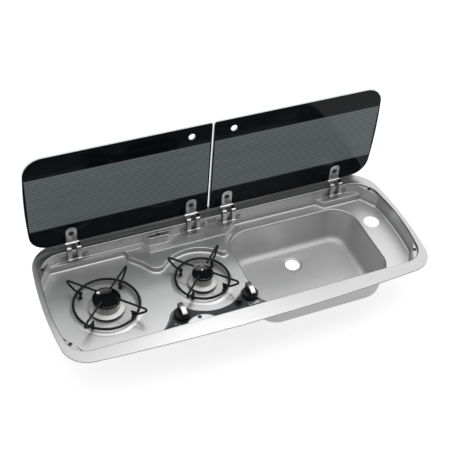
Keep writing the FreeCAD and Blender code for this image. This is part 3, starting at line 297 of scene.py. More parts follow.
ground_paint = Finish("white_ground", Roughness=0.7, Emission_Strength=1.0)
ground_shade = 0.5 + 0.5 * ground_paint.noise((0.7, 0.7, 0.7))
ground_glow = ground_paint.blend(background_rays(ground_paint), grey(0.0), grey(GROUND_GLOW))
ground_tone = ground_paint.blend(ground_shade, grey(0.49), grey(0.51))
ground_paint.coat(Base_Color=ground_tone, Emission_Color=ground_glow)
ground_place = (0, 0, cad_box[0].z)
bpy.ops.mesh.primitive_grid_add(x_subdivisions=2, y_subdivisions=2, size=GROUND_SIZE, location=ground_place)
ground = bpy.context.object
ground.name = "white_ground"
ground.data.materials.append(ground_paint.material)
print("ground at", round(cad_box[0].z / MM, 1), "mm")

# %% [markdown]
# ## Kinds of surface
# Metal, enamel, plastic and rubber each get fine changes of tone and gloss, because an even colour looks
# like a drawing. An image of brushed metal would show its edges and repeat, so the grain is stretched
# noise.

# %% Satin steel, paint and bare metal
GRAIN_DEPTH = 0.004 * MM


def shades(colour, low, high):
    """A darker and a lighter version of a colour."""
    return [tuple(channel * share for channel in colour[:3]) + (1.0,) for share in (low, high)]


def satin_steel(name, tone, roughness, grain, stretch):
    """Sheet with fine grain, whose lines run along the axis with the smallest stretch."""
    finish = Finish(name, Metallic=1.0)
    lines = finish.noise(stretch, 3.0)
    cloud = finish.noise((11, 13, 12), 2.0)
    colour = finish.blend(cloud, grey(tone * 0.95), grey(tone * 1.03))
    rough = roughness + (lines - 0.5) * grain + (cloud - 0.5) * 0.08
    return finish.coat(Base_Color=colour, Roughness=rough, Normal=finish.bump(lines, GRAIN_DEPTH))


def smooth_paint(name, colour, roughness, speck=0.12, specular=0.5, bump_depth=0.0, cells=900):
    """Enamel, plastic or rubber: a plain colour with fine variation of tone, gloss and surface."""
    finish = Finish(name, Specular_IOR_Level=specular)
    fine = finish.noise((cells, cells, cells), 2.0)
    slow = finish.noise((25, 25, 25), 2.0)
    dark, light = shades(colour, 1 - speck, 1 + speck)
    finish.coat(Base_Color=finish.blend(slow, dark, light), Roughness=roughness + (fine - 0.5) * 0.1)
    if bump_depth:
        finish.coat(Normal=finish.bump(fine, bump_depth))
    return finish.material


def bare_metal(name, colour, roughness, cells, depth=0.01 * MM):
    """Cast or machined metal, a little uneven."""
    finish = Finish(name, Metallic=1.0)
    fine = finish.noise((cells, cells, cells), 3.0)
    dark, full = shades(colour, 0.88, 1.0)
    finish.coat(Base_Color=finish.blend(fine, dark, full), Roughness=roughness + (fine - 0.5) * 0.15)
    return finish.coat(Normal=finish.bump(fine, depth))


bracket_steel = satin_steel("bracket_steel", 0.68, 0.24, 0.08, (900, 120, 900))
plated_steel = satin_steel("plated_hinge_steel", 0.74, 0.18, 0.05, (500, 500, 90))
# A darker copy of the bracket steel: painted shade for the hinge brackets on the back wall.
shaded_steel = satin_steel("shaded_bracket_steel", 0.36, 0.30, 0.08, (900, 120, 900))
silver = satin_steel("silver_grip", 0.60, 0.34, 0.08, (900, 90, 900))
bright_plate = satin_steel("bright_clip", 0.42, 0.40, 0.06, (120, 900, 900))
cast_metal = bare_metal("cast_burner_metal", (0.62, 0.61, 0.60), 0.36, 700)
flange_metal = bare_metal("turned_flange_metal", (0.88, 0.88, 0.87), 0.56, 260)
cup_metal = bare_metal("cast_cup_metal", (0.50, 0.50, 0.49), 0.45, 500)
pipe_metal = bare_metal("plain_tube_metal", (0.62, 0.62, 0.61), 0.32, 300)
brass = bare_metal("machined_brass", (0.70, 0.53, 0.24), 0.30, 400)
probe_metal = bare_metal("probe_metal", (0.58, 0.55, 0.52), 0.38, 600)
cap_enamel = smooth_paint("black_cap_enamel", (0.0020, 0.0022, 0.0026), 0.09)
wire_enamel = smooth_paint("black_wire_enamel", (0.008, 0.0085, 0.010), 0.34, specular=0.24)
rubber = smooth_paint("black_rubber", (0.012, 0.012, 0.013), 0.62, specular=0.3, bump_depth=0.02 * MM)
knob_plastic = smooth_paint("black_knob_plastic", (0.009, 0.009, 0.010), 0.30, specular=0.4,
                            bump_depth=0.006 * MM)
dark_plating = smooth_paint("dark_plated_screw", (0.020, 0.021, 0.024), 0.28)
print("finishes so far:", len(bpy.data.materials))

# %% [markdown]
# ## The pan's steel
# The pan is satin stainless sheet: neither mirror nor paint. A metallic shader with fine grain along the
# unit's length scatters reflections softly, and slow cloudy changes keep large flats from looking
# printed. Pressing leaves the rim glossier than the deep bowl, so height chooses the gloss. The tone holds
# painted shade: the rim is painted darker so that its strong light does not burn out, faces turned down
# are painted darker, and a painted dark line runs along the rim's front and side folds. Separate materials
# would show a hard line between them.

# %% Pressed steel
BOWL_FROM, BOWL_TO = -70 * MM, -44 * MM
RIM_FROM, RIM_TO = -8 * MM, -2 * MM
EDGE_FROM, EDGE_TO = -1.5 * MM, -1.2 * MM
BACK_FROM, BACK_TO = 100 * MM, 110 * MM
BOWL_ROUGH, LESS_OUTSIDE, LESS_ON_RIM = 0.55, 0.13, 0.10
STEEL_TONE, RIM_PAINTED_SHADE, UNDERSIDE_PAINTED_SHADE, CLOUDINESS = 0.72, 0.09, 0.30, 0.05
FOLD_SHADE_SHARE, FOLD_SHADE_TONE = 0.62, 0.06


def pressed_steel():
    """The pan's sheet: glossier outside the bowl, with painted shade on the rim, along its folds and on its
    underside.
    """
    finish = Finish("satin_pan_steel", Metallic=1.0)
    lines = finish.noise((70, 1600, 1600), 3.0)
    cloud = finish.noise((11, 13, 12), 2.0)
    y, z = finish.axes(finish.coordinates())[1:]
    tilt_y, tilt_z = finish.axes(finish.coordinates("Normal"))[1:]
    on_rim = finish.step(z, RIM_FROM, RIM_TO)
    rough = BOWL_ROUGH - LESS_OUTSIDE * finish.step(z, BOWL_FROM, BOWL_TO) - LESS_ON_RIM * on_rim
    rough = rough + (lines - 0.5) * 0.10 + (cloud - 0.5) * 0.08
    # Painted shade: a dark line along the rim's front and side folds, left off the back fold, which stays
    # bright.
    turned_over = 1 - finish.step(tilt_z, 0.45, 0.93)
    back_fold = finish.step(y, BACK_FROM, BACK_TO) * finish.step(0 - tilt_y, 0.1, 0.5)
    fold_shade = turned_over * finish.step(z, EDGE_FROM, EDGE_TO) * (1 - back_fold)
    # Painted shade: faces turned down are painted darker.
    underside = 1 - finish.step(tilt_z, -0.05, -0.01)
    # Painted shade: the rim's tone is lowered so that its strong light does not burn out; the cloud is random
    # tone.
    tone = STEEL_TONE - RIM_PAINTED_SHADE * on_rim + CLOUDINESS * (cloud - 0.5)
    tone = tone * (1 - UNDERSIDE_PAINTED_SHADE * underside)
    colour = finish.blend(tone, grey(0.0), grey(1.0))
    colour = finish.blend(FOLD_SHADE_SHARE * fold_shade, colour, grey(FOLD_SHADE_TONE))
    return finish.coat(Base_Color=colour, Roughness=rough, Normal=finish.bump(lines, GRAIN_DEPTH))


pan_steel = pressed_steel()
print("pan finish:", pan_steel.name, "nodes:", len(pan_steel.node_tree.nodes))

# %% [markdown]
# ## Printed glass
# Each lid is black-printed glass with a wide band of fine grey lines. A picture of the print would be
# fixed in its size, so masks on the lid's own coordinates draw it: height picks the band, a sine draws
# the lines, and the direction of the surface finds the polished edge, which looks pale because light runs
# through the glass.

# %% Lid glass
BAND_LOW, BAND_HIGH = 70.5 * MM, 222.5 * MM
BAND_INNER, BAND_OUTER = 5.5 * MM, 431.0 * MM
LINE_PITCH = 6.2 * MM
SOFT_EDGE = 0.4 * MM
BLACK_PRINT = (0.0030, 0.0036, 0.0050, 1.0)
GREY_PRINT = (0.200, 0.225, 0.232, 1.0)
PALE_EDGE = (0.62, 0.68, 0.66, 1.0)

glass = Finish("printed_lid_glass", Specular_IOR_Level=0.12)


def between(value, low, high):
    """1 from low to high on the lid, with soft ends."""
    return glass.step(value, low, low + SOFT_EDGE) * (1 - glass.step(value, high, high + SOFT_EDGE))


along, _, height = glass.axes(glass.coordinates())
facing = abs(glass.axes(glass.coordinates("Normal"))[1])
band = between(height, BAND_LOW, BAND_HIGH) * between(abs(along), BAND_INNER, BAND_OUTER)
wave = height.maths("SINE", height * (2 * math.pi / LINE_PITCH))
lines = 0.35 + 0.65 * glass.step(wave, -0.9, 0.9)
drift = 0.9 + 0.2 * glass.noise((5, 5, 60), 1.0)
print_share = band * lines * drift
edge = 1 - glass.step(facing, 0.45, 0.75)
colour = glass.blend(edge, glass.blend(print_share, BLACK_PRINT, GREY_PRINT), PALE_EDGE)
lid_glass = glass.coat(Base_Color=colour, Roughness=0.07 + 0.12 * edge + 0.10 * print_share)
print("band from", BAND_LOW / MM, "to", BAND_HIGH / MM, "mm")

# %% [markdown]
# ## Control panel
# The panel is a thin dark plate with a brushed grain and two plain dots at its left end. The dots are
# part of the print, so masks draw them; raised discs would catch light at their edges.

# %% Panel
MARK_RADIUS, MARK_SOFT = 1.3 * MM, 0.3 * MM
MARKS = [(-186 * MM, -113 * MM), (-179 * MM, -118 * MM)]
PANEL_DARK = (0.030, 0.034, 0.038, 1.0)
PANEL_LIGHT = (0.052, 0.057, 0.062, 1.0)

panel = Finish("dark_panel", Metallic=0.6)
panel_lines = panel.noise((60, 1500, 1500), 3.0)
panel_cloud = panel.noise((18, 18, 18), 2.0)
panel_x, panel_y = panel.axes(panel.coordinates())[:2]
dots = 0.0
for mark_x, mark_y in MARKS:
    away = (panel_x - mark_x) * (panel_x - mark_x) + (panel_y - mark_y) * (panel_y - mark_y)
    dots = dots + (1 - panel.step(away, MARK_RADIUS ** 2, (MARK_RADIUS + MARK_SOFT) ** 2))
panel_tone = panel.blend(dots, panel.blend(panel_lines, PANEL_DARK, PANEL_LIGHT), grey(0.6))
panel_rough = 0.38 + 0.14 * panel_cloud
panel_grain = panel.bump(panel_lines, GRAIN_DEPTH)
panel_paint = panel.coat(Base_Color=panel_tone, Roughness=panel_rough, Normal=panel_grain)
print("marks on the panel:", len(MARKS))

# %% [markdown]
# ## Easing edges
# No real sheet or casting has a perfectly sharp edge, and it is the eased edge that catches light. A copy
# of a solid is merged, its flat faces joined, its sharp edges bevelled and its normals weighted by area,
# so flats stay flat. Modelling every piece again would lose the measured shape; the copy keeps it and
# stands for it.

# %% A merged copy with eased edges
def settle(piece, body, slot, *nodes):
    """Put a piece on its body and let it stand for its solids, which are hidden. The slot is not used."""
    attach(piece, body)
    if nodes:
        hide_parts(*nodes)
    return piece


def mesh_from(name, work):
    """A mesh of what was worked on, which is then freed."""
    mesh = bpy.data.meshes.new(name)
    work.to_mesh(mesh)
    work.free()
    return mesh


def joined_mesh(node, flat_angle=0.3):
    """A merged copy of a solid's mesh with its flat faces joined."""
    work = bmesh.new()
    work.from_mesh(frame["nodes"][node].data)
    bmesh.ops.remove_doubles(work, verts=work.verts, dist=0.002 * MM)
    bmesh.ops.dissolve_limit(work, angle_limit=math.radians(flat_angle), verts=work.verts, edges=work.edges)
    return mesh_from(f"{node}_eased", work)


def finished(piece):
    """The piece's modifiers made part of its mesh."""
    evaluated = piece.evaluated_get(bpy.context.evaluated_depsgraph_get())
    mesh = bpy.data.meshes.new_from_object(evaluated)
    piece.modifiers.clear()
    piece.data = mesh
    return piece


def shade(piece, sharp_angle=35):
    """Smooth shading that leaves flats flat and hard corners hard."""
    piece.data.shade_smooth()
    piece.data.set_sharp_from_angle(angle=math.radians(sharp_angle))
    weigh = piece.modifiers.new("weigh", "WEIGHTED_NORMAL")
    weigh.keep_sharp = True
    return finished(piece)


def link(name, mesh, finish):
    piece = bpy.data.objects.new(name, mesh)
    mesh.materials.clear()
    mesh.materials.append(finish)
    scene.collection.objects.link(piece)
    return piece


def eased(node, finish, width, segments=3, edge_angle=32):
    """A copy of a solid with eased edges, standing for it."""
    piece = link(f"{node}_eased", joined_mesh(node), finish)
    if width:
        bevel = piece.modifiers.new("ease", "BEVEL")
        bevel.limit_method = "ANGLE"
        bevel.angle_limit = math.radians(edge_angle)
        bevel.width = width
        bevel.segments = segments
        bevel.miter_outer = "MITER_ARC"
        finished(piece)
    shade(piece)
    return settle(piece, body_of[node], slot_of[node], node)


print("a node's slot and body come from the record:", len(slot_of), "slots")

# %% [markdown]
# ## The eased pieces
# Most pieces need no more than eased edges and a finish. Widths follow the real thing: moulded knobs are
# round, stamped brackets nearly sharp, and drawn tube has no edge to ease.

# %% Ease the rigid pieces
HINGES = [(side, place) for side in SIDES for place in ("outer", "inner")]
eased("left_lid_glass", lid_glass, 0.6 * MM)
eased("right_lid_glass", lid_glass, 0.6 * MM)
eased("control_panel", panel_paint, 0.4 * MM)
eased("panel_clip", bright_plate, 0.5 * MM)
eased("centre_bracket", bracket_steel, 0.4 * MM)
eased("hinge_pins", plated_steel, 0.4 * MM)
for side, place in HINGES:
    eased(f"{side}_{place}_hinge_arm", plated_steel, 0.6 * MM)
    eased(f"{side}_{place}_hinge_bracket", shaded_steel, 0.3 * MM)
for side in SIDES:
    eased(f"{side}_knob", knob_plastic, 0.9 * MM)
    eased(f"{side}_knob_grip", silver, 0.45 * MM)
    eased(f"{side}_burner_head", cast_metal, 0.25 * MM)
    eased(f"{side}_mixing_cup", cup_metal, 0.6 * MM)
    eased(f"{side}_gas_valve", brass, 0.5 * MM)
    eased(f"{side}_gas_jet", brass, 0.4 * MM)
    eased(f"{side}_spindle", brass, 0.3 * MM)
    eased(f"{side}_push_pin", brass, 0.2 * MM)
    eased(f"{side}_feed_pipe", pipe_metal, 0)
    eased(f"{side}_lid_washers", rubber, 0.2 * MM)
eased("gas_rail", pipe_metal, 0.4 * MM)
eased("gas_inlet", pipe_metal, 0.3 * MM)
eased("thermocouples", probe_metal, 0.3 * MM)
eased("spark_electrodes", probe_metal, 0.3 * MM)
eased("igniter_collar", knob_plastic, 0.5 * MM)
eased("igniter_button", knob_plastic, 0.8 * MM)
eased("igniter_body", knob_plastic, 0.6 * MM)
eased("rim_seal", rubber, 0.2 * MM)

# %% [markdown]
# ## The pan
# The pan is one deep pressing, and its steps roll over in soft brinks that catch the light. Only those
# brinks are widely rounded here, picked by their height and by the way their faces turn away from each
# other, and only where their wall is taller than the round; the sheet's own thin edges keep a crisp line.
# Large faces with many corners are split before shading, so that their shading stays even.

# %% Rounded brinks of the pressing
RIM_TOP = 2.5 * MM
CORNER_DROP, HINGE_DROP, PLATEAU_DROP, TRAY_DROP, DISH_DROP = 6.0 * MM, 27.5 * MM, 31.0 * MM, 43 * MM, 46 * MM
BRINK_ROUND = 2.6 * MM
BRINK_ANGLE = math.radians(25)
LEVEL_SLACK = 0.02 * MM
CORNER_LEDGE_X = 300 * MM


def at_drop(edge, drop):
    """True for an edge that lies level at this depth below the rim."""
    return max(abs(vertex.co.z - (RIM_TOP - drop)) for vertex in edge.verts) < LEVEL_SLACK


def is_brink(edge):
    """True for an edge where a floor of the pressing rolls over into a wall that is tall enough to round."""
    on_corner_ledge = min(abs(vertex.co.x) for vertex in edge.verts) > CORNER_LEDGE_X
    drops = (HINGE_DROP, PLATEAU_DROP) if on_corner_ledge else (CORNER_DROP, HINGE_DROP, PLATEAU_DROP)
    if not any(at_drop(edge, drop) for drop in drops):
        return False
    if len(edge.link_faces) != 2 or not edge.is_convex or edge.calc_face_angle() <= BRINK_ANGLE:
        return False
    wall = min(edge.link_faces, key=lambda face: abs(face.normal.z))
    return edge.verts[0].co.z - min(vertex.co.z for vertex in wall.verts) > BRINK_ROUND


pan_mesh = joined_mesh("pan")
work = bmesh.new()
work.from_mesh(pan_mesh)
weights = work.edges.layers.float.new("bevel_weight_edge")
brinks = [edge for edge in work.edges if is_brink(edge)]
for edge in brinks:
    edge[weights] = 1.0
print("brink edges:", len(brinks))
work.to_mesh(pan_mesh)
work.free()
pan = link("pan_eased", pan_mesh, pan_steel)
round_over = pan.modifiers.new("round_over", "BEVEL")
round_over.limit_method = "WEIGHT"
round_over.width = BRINK_ROUND
round_over.segments = 4
round_over.use_clamp_overlap = False
split = pan.modifiers.new("split", "TRIANGULATE")
split.min_vertices = 5
finished(pan)
shade(pan, 30)
settle(pan, "base", "pan", "pan")
print("pan faces:", len(pan.data.polygons))

# %% [markdown]
# ## Turned pieces
# Caps, skirts, beads, feet, screws and nuts are round, so a lathe makes them: half a profile spun about
# an axis. A cylinder with modifiers would need its edges picked by hand; a profile says its heights
# outright.

# %% A lathe
def turned(name, profile, steps=72):
    """A closed round shape from (radius, height) pairs, which start and end on the axis or close a ring."""
    work = bmesh.new()
    rim = [work.verts.new((radius, 0, height)) for radius, height in profile]
    chain = [work.edges.new(pair) for pair in zip(rim, rim[1:])]
    bmesh.ops.spin(work, geom=rim + chain, axis=(0, 0, 1), cent=(0, 0, 0), steps=steps, angle=2 * math.pi)
    bmesh.ops.remove_doubles(work, verts=work.verts, dist=0.001 * MM)
    bmesh.ops.recalc_face_normals(work, faces=work.faces)
    return mesh_from(name, work)


def bowed(start, end, bulge, count=6):
    """Points from start to end, bowed out by bulge in the middle, without the end."""
    (r0, z0), (r1, z1) = start, end
    length = math.hypot(r1 - r0, z1 - z0)
    aside = ((z1 - z0) / length, -(r1 - r0) / length)
    shares = [i / count for i in range(count)]
    return [(r0 + (r1 - r0) * t + aside[0] * bulge * 4 * t * (1 - t),
             z0 + (z1 - z0) * t + aside[1] * bulge * 4 * t * (1 - t)) for t in shares]


def middle_of(node):
    low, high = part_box(node)
    return (low + high) / 2


def burner_ring(name, profile, side, finish, steps=96):
    """A turned piece about the axis of a burner."""
    mesh = turned(name, profile, steps)
    centre = middle_of(f"{side}_burner_cap")
    mesh.transform(Matrix.Translation((centre.x, centre.y, 0)))
    return shade(link(name, mesh, finish), 40)


SHARES = [step / 12 for step in range(13)]
print("burners at", *[tuple(round(c / MM, 1) for c in middle_of(f"{side}_burner_cap")[:2]) for side in SIDES])

# %% [markdown]
# ## Burner caps
# The caps are enamelled discs with a soft rim and a slightly hollow top, which gives each its small
# bright light. A flat top would mirror one even grey.

# %% Caps
CAP_HOLLOW, CAP_THICK, CAP_SPIGOT_IN = 3.0 * MM, 5.0 * MM, 8.0 * MM
CAP_EASE, CAP_LIP, CAP_SHOULDER = 0.7 * MM, 0.8 * MM, 3.4 * MM
for side in SIDES:
    low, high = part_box(f"{side}_burner_cap")
    radius = (high.x - low.x) / 2
    top, bottom = high.z, high.z - CAP_THICK
    spigot, shoulder, lip = radius - CAP_SPIGOT_IN, radius - CAP_SHOULDER, (radius, bottom + CAP_LIP)
    profile = [(0, low.z), (spigot, low.z), (spigot, bottom)]
    profile += bowed((radius - CAP_EASE, bottom), lip, 0.25 * MM)
    profile += bowed(lip, (shoulder, top), 1.25 * MM)
    profile += [(shoulder * (1 - t), top - CAP_HOLLOW * (1 - (1 - t) ** 2)) for t in SHARES]
    cap = burner_ring(f"{side}_cap_disc", profile, side, cap_enamel)
    settle(cap, "base", "burner_cap", f"{side}_burner_cap")
    print(side, "cap radius", round(radius / MM, 1), "mm")

# %% [markdown]
# ## Burner bases
# Under each head lies a turned base with a bright sloping skirt, and a dark seal keeps it off the pan. A
# lathe profile gives the skirt its soft edge; the solid's plain cone would show a hard one.

# %% Skirts and seals
SKIRT_OUT, THROAT_IN, BORE_IN = 12 * MM, 2 * MM, 7 * MM
SKIRT_RISE, COLLAR_RISE, COLLAR_OUT, COLLAR_IN = 6.4 * MM, 1.4 * MM, 2.2 * MM, 0.5 * MM
LIP_IN, LIP_LOW, LIP_TOP_IN, LIP_HIGH = 0.6 * MM, 0.5 * MM, 1.4 * MM, 1.7 * MM
SEAL_INNER, SEAL_OUTER = 8 * MM, 2 * MM
for side in SIDES:
    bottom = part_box(f"{side}_burner_base")[0].z
    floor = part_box(f"{side}_burner_seal")[0].z
    head_low, head_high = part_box(f"{side}_burner_head")
    head, seat = (head_high.x - head_low.x) / 2, head_low.z
    skirt, throat, bore = head + SKIRT_OUT, head - THROAT_IN, head - BORE_IN
    under, collar = floor + SKIRT_RISE, seat + COLLAR_RISE
    lip, brow = (skirt, under + LIP_LOW), (skirt - LIP_TOP_IN, under + LIP_HIGH)
    shoulder, inside = (head + COLLAR_OUT, collar), head + COLLAR_IN
    profile = [(bore, bottom), (throat, bottom), (throat, under), (skirt - LIP_IN, under)]
    profile += bowed(lip, brow, 0.3 * MM)
    profile += bowed(brow, shoulder, 0.25 * MM)
    profile += [shoulder, (inside, collar), (inside, seat), (bore, seat), (bore, bottom)]
    base = burner_ring(f"{side}_skirt", profile, side, flange_metal)
    settle(base, "base", "burner", f"{side}_burner_base")
    inner, outer = skirt - SEAL_INNER, skirt - SEAL_OUTER
    ring = [(inner, floor), (outer, floor), (outer, under), (inner, under), (inner, floor)]
    seal = burner_ring(f"{side}_skirt_seal", ring, side, rubber)
    settle(seal, "base", "seal", f"{side}_burner_seal")
    print(side, "skirt radius", round(skirt / MM, 1), "mm")

# %% [markdown]
# ## Beads round the burners
# The pressing rises in a low soft bead round each dish, which catches the light at the front. A bump in
# the finish would only shade it, so each bead is a turned ring of the pan's own steel that leaves the
# floor without a crease.

# %% Turned beads
DISH_RADIUS = {"left": 79 * MM, "right": 69 * MM}
TRAY_FLOOR, DISH_FLOOR = RIM_TOP - TRAY_DROP, RIM_TOP - DISH_DROP
BEAD_OUT, BEAD_WIDE, BEAD_RISE, BEAD_INSIDE = 4.0 * MM, 10.5 * MM, 2.6 * MM, 2.4 * MM
SUNK = 0.3 * MM
for side in SIDES:
    outer = DISH_RADIUS[side] + BEAD_OUT
    crest = outer - BEAD_WIDE
    foot = crest - BEAD_INSIDE
    profile = [(outer, TRAY_FLOOR - SUNK)]
    profile += [(outer - BEAD_WIDE * t, TRAY_FLOOR + BEAD_RISE * t * t * (3 - 2 * t)) for t in SHARES]
    profile += bowed((crest, TRAY_FLOOR + BEAD_RISE), (foot, DISH_FLOOR), 0.8 * MM, 8)[1:]
    profile += [(foot, DISH_FLOOR), (foot, DISH_FLOOR - SUNK), profile[0]]
    settle(burner_ring(f"{side}_dish_bead", profile, side, pan_steel, 128), "base", "pan")
    print(side, "bead from", round(foot / MM, 1), "to", round(outer / MM, 1), "mm")

# %% [markdown]
# ## A recipe of nodes
# Pieces that repeat are made with Geometry Nodes, whose sizes stay as named inputs. A short class adds
# the nodes and their links, ends each tree in the same way and hands back a plain mesh. Wiring by hand in
# the editor would give the same tree, but not one that can be read here.

# %% Recipe
class Recipe:
    """A Geometry Nodes tree with named sizes, and the one way that nodes are added to it."""

    def __init__(self, name, sizes):
        self.tree = bpy.data.node_groups.new(name, "GeometryNodeTree")
        face = self.tree.interface
        face.new_socket("Geometry", in_out="INPUT", socket_type="NodeSocketGeometry")
        self.sizes = {}
        for size, kind in sizes.items():
            self.sizes[size] = face.new_socket(size, in_out="INPUT", socket_type=kind)
        face.new_socket("Geometry", in_out="OUTPUT", socket_type="NodeSocketGeometry")
        self.inlet = self.tree.nodes.new("NodeGroupInput").outputs
        self.outlet = self.tree.nodes.new("NodeGroupOutput").inputs

    def node(self, kind, settings=None, sockets=None, outlet=0):
        made = self.tree.nodes.new(kind)
        for key, value in (settings or {}).items():
            setattr(made, key, value)
        for key, value in (sockets or {}).items():
            for part in value if isinstance(value, list) else [value]:
                if isinstance(part, bpy.types.NodeSocket):
                    self.tree.links.new(part, made.inputs[key])
                else:
                    made.inputs[key].default_value = part
        return made.outputs[outlet]

    def end(self, geometry, finish):
        whole = self.node("GeometryNodeRealizeInstances", sockets={0: geometry})
        painted = self.node("GeometryNodeSetMaterial", sockets={"Geometry": whole, "Material": finish})
        self.tree.links.new(painted, self.outlet[0])
        return self

    def make(self, name, seed, values):
        """A plain mesh of what the nodes give for a seed mesh and these sizes."""
        holder = bpy.data.objects.new(name, seed)
        scene.collection.objects.link(holder)
        modifier = holder.modifiers.new("recipe", "NODES")
        modifier.node_group = self.tree
        for size, value in values.items():
            modifier[self.sizes[size].identifier] = value
        return finished(holder)


def points_mesh(name, points, edges=()):
    mesh = bpy.data.meshes.new(name)
    mesh.from_pydata(points, edges, [])
    return mesh


print("recipes are added by", Recipe.__name__)

# %% [markdown]
# ## Pan supports
# A support is one ring of enamelled wire with four hairpin arms welded to it. The arms repeat and follow
# a bent line, so nodes make them: the line gets rounded corners, a round section is swept along it, and
# four turned copies join the ring. Bending one arm in code four times would work too, but then every size
# would be fixed.

# %% The nodes of a support
FLOAT = "NodeSocketFloat"
WIRE_SIDES, RING_STEPS, BEND_STEPS, ARMS = 16, 120, 7, 4
SUPPORT_SIZES = ("Ring radius", "Ring height", "Ring wire", "Arm wire", "Bend", "First turn")
support = Recipe("wire_support", {size: FLOAT for size in SUPPORT_SIZES})


def circle(steps, radius):
    return support.node("GeometryNodeCurvePrimitiveCircle", sockets={"Resolution": steps, "Radius": radius})


line = support.node("GeometryNodeMeshToCurve", sockets={0: support.inlet[0]})
line = support.node("GeometryNodeFilletCurve", {"mode": "POLY"}, {
    "Curve": line, "Radius": support.inlet["Bend"], "Limit Radius": True, "Count": BEND_STEPS})
arm_section = circle(WIRE_SIDES, support.inlet["Arm wire"])
arm = support.node("GeometryNodeCurveToMesh", sockets={0: line, 1: arm_section, "Fill Caps": True})
quarters = support.node("GeometryNodeMeshLine", sockets={"Count": ARMS, "Offset": (0, 0, 0)})
turn = support.node("ShaderNodeMath", {"operation": "MULTIPLY_ADD"}, {
    0: support.node("GeometryNodeInputIndex"), 1: 2 * math.pi / ARMS, 2: support.inlet["First turn"]})
turn = support.node("ShaderNodeCombineXYZ", sockets={"Z": turn})
arms = support.node("GeometryNodeInstanceOnPoints", sockets={
    "Points": quarters, "Instance": arm, "Rotation": turn})
ring_line = circle(RING_STEPS, support.inlet["Ring radius"])
ring_section = circle(WIRE_SIDES, support.inlet["Ring wire"])
ring = support.node("GeometryNodeCurveToMesh", sockets={0: ring_line, 1: ring_section})
lift = support.node("ShaderNodeCombineXYZ", sockets={"Z": support.inlet["Ring height"]})
ring = support.node("GeometryNodeTransform", sockets={"Geometry": ring, "Translation": lift})
support.end(support.node("GeometryNodeJoinGeometry", sockets={0: [arms, ring]}), wire_enamel)
print("support nodes:", len(support.tree.nodes))

# %% [markdown]
# The ring's middle lies level with the plateaus, and the arms' tops run just above the rim, so that a pan
# clears the edge. The two supports differ only in their ring and in how far the arms reach in.

# %% The two supports
RING_WIRE, ARM_WIRE, WELD = 2.9 * MM, 2.5 * MM, 0.8 * MM
RING_HEIGHT = RIM_TOP - PLATEAU_DROP
ARM_LOW = RING_HEIGHT + RING_WIRE + ARM_WIRE - WELD
ARM_HIGH = RIM_TOP + 0.8 * MM - ARM_WIRE
RING = {"left": 73.5 * MM, "right": 62.5 * MM}
ARM_INNER = {"left": 23.5 * MM, "right": 22.5 * MM}
ARM_REACH, ARM_HEEL, ARM_FOOT, ARM_BEND = 31.5 * MM, 6 * MM, 13 * MM, 5.0 * MM
FIRST_TURN = math.pi / 4
for side in SIDES:
    ring_radius = RING[side]
    route = [(ARM_INNER[side], ARM_HIGH), (ring_radius + ARM_REACH, ARM_HIGH),
             (ring_radius + ARM_HEEL, ARM_LOW), (ring_radius - ARM_FOOT, ARM_LOW)]
    seed = points_mesh(f"{side}_arm_line", [(r, 0, z) for r, z in route], [(0, 1), (1, 2), (2, 3)])
    piece = support.make(f"{side}_wire_support", seed, {
        "Ring radius": ring_radius, "Ring height": RING_HEIGHT, "Ring wire": RING_WIRE,
        "Arm wire": ARM_WIRE, "Bend": ARM_BEND, "First turn": FIRST_TURN})
    centre = middle_of(f"{side}_burner_cap")
    piece.data.transform(Matrix.Translation((centre.x, centre.y, 0)))
    shade(piece, 40)
    settle(piece, "base", "support_wire", f"{side}_pan_support")
    print(side, "support faces", len(piece.data.polygons))

# %% [markdown]
# ## Small parts that repeat
# Rivets, screws, cap nuts and rubber feet are the same shape again and again. One template is turned or
# cut once, and nodes set a copy on each point. The points follow the solids and their holes, so every copy
# sits where it belongs. Copying by hand would work for four, but not stay true when a place changes.

# %% Copies on points
repeat = Recipe("copies_on_points", {"Piece": "NodeSocketObject", "Finish": "NodeSocketMaterial"})
template = {"Object": repeat.inlet["Piece"]}
template = repeat.node("GeometryNodeObjectInfo", sockets=template, outlet="Geometry")
copies = {"Points": repeat.inlet[0], "Instance": template}
copies = repeat.node("GeometryNodeInstanceOnPoints", sockets=copies)
repeat.end(copies, repeat.inlet["Finish"])


def copies_of(name, mesh, points, finish, body, slot, nodes=()):
    """Copies of a template mesh on points, as one piece of a body."""
    source = link(f"{name}_template", mesh, finish)
    piece = repeat.make(name, points_mesh(f"{name}_points", points), {"Piece": source, "Finish": finish})
    bpy.data.objects.remove(source)
    shade(piece, 35)
    print(name, "on", len(points), "points")
    return settle(piece, body, slot, *nodes)


def domed(name, radius, rise, side_rise, bulge, count, steps):
    """A round head with a side of side_rise and a bowed top."""
    edge = bowed((radius, side_rise), (0, rise), bulge, count)
    return turned(name, [(0, 0), (radius, 0)] + edge + [(0, rise)], steps)


print("copies come from", repeat.tree.name)

# %% [markdown]
# ## Lid screws and cap nuts
# Each hinge tongue is held by a dark domed screw with a cross recess in front of the glass and a cap nut
# behind it. A boolean cuts the two slots of the recess, which is simpler than a profile with a cross in
# it.

# %% Screws through the glass
HINGE_X = {"outer": 338 * MM, "inner": 46 * MM}
SIGN = {"left": -1, "right": 1}
ONTO_FRONT = Matrix.Rotation(math.radians(90), 4, "X")
ONTO_BACK = Matrix.Rotation(math.radians(-90), 4, "X")
SLOT_LONG, SLOT_WIDE = 1.25, 0.28
LID_SCREW_RADIUS, LID_SCREW_RISE = 6.5 * MM, 2.5 * MM
TONGUE_FRONT = 162.5 * MM


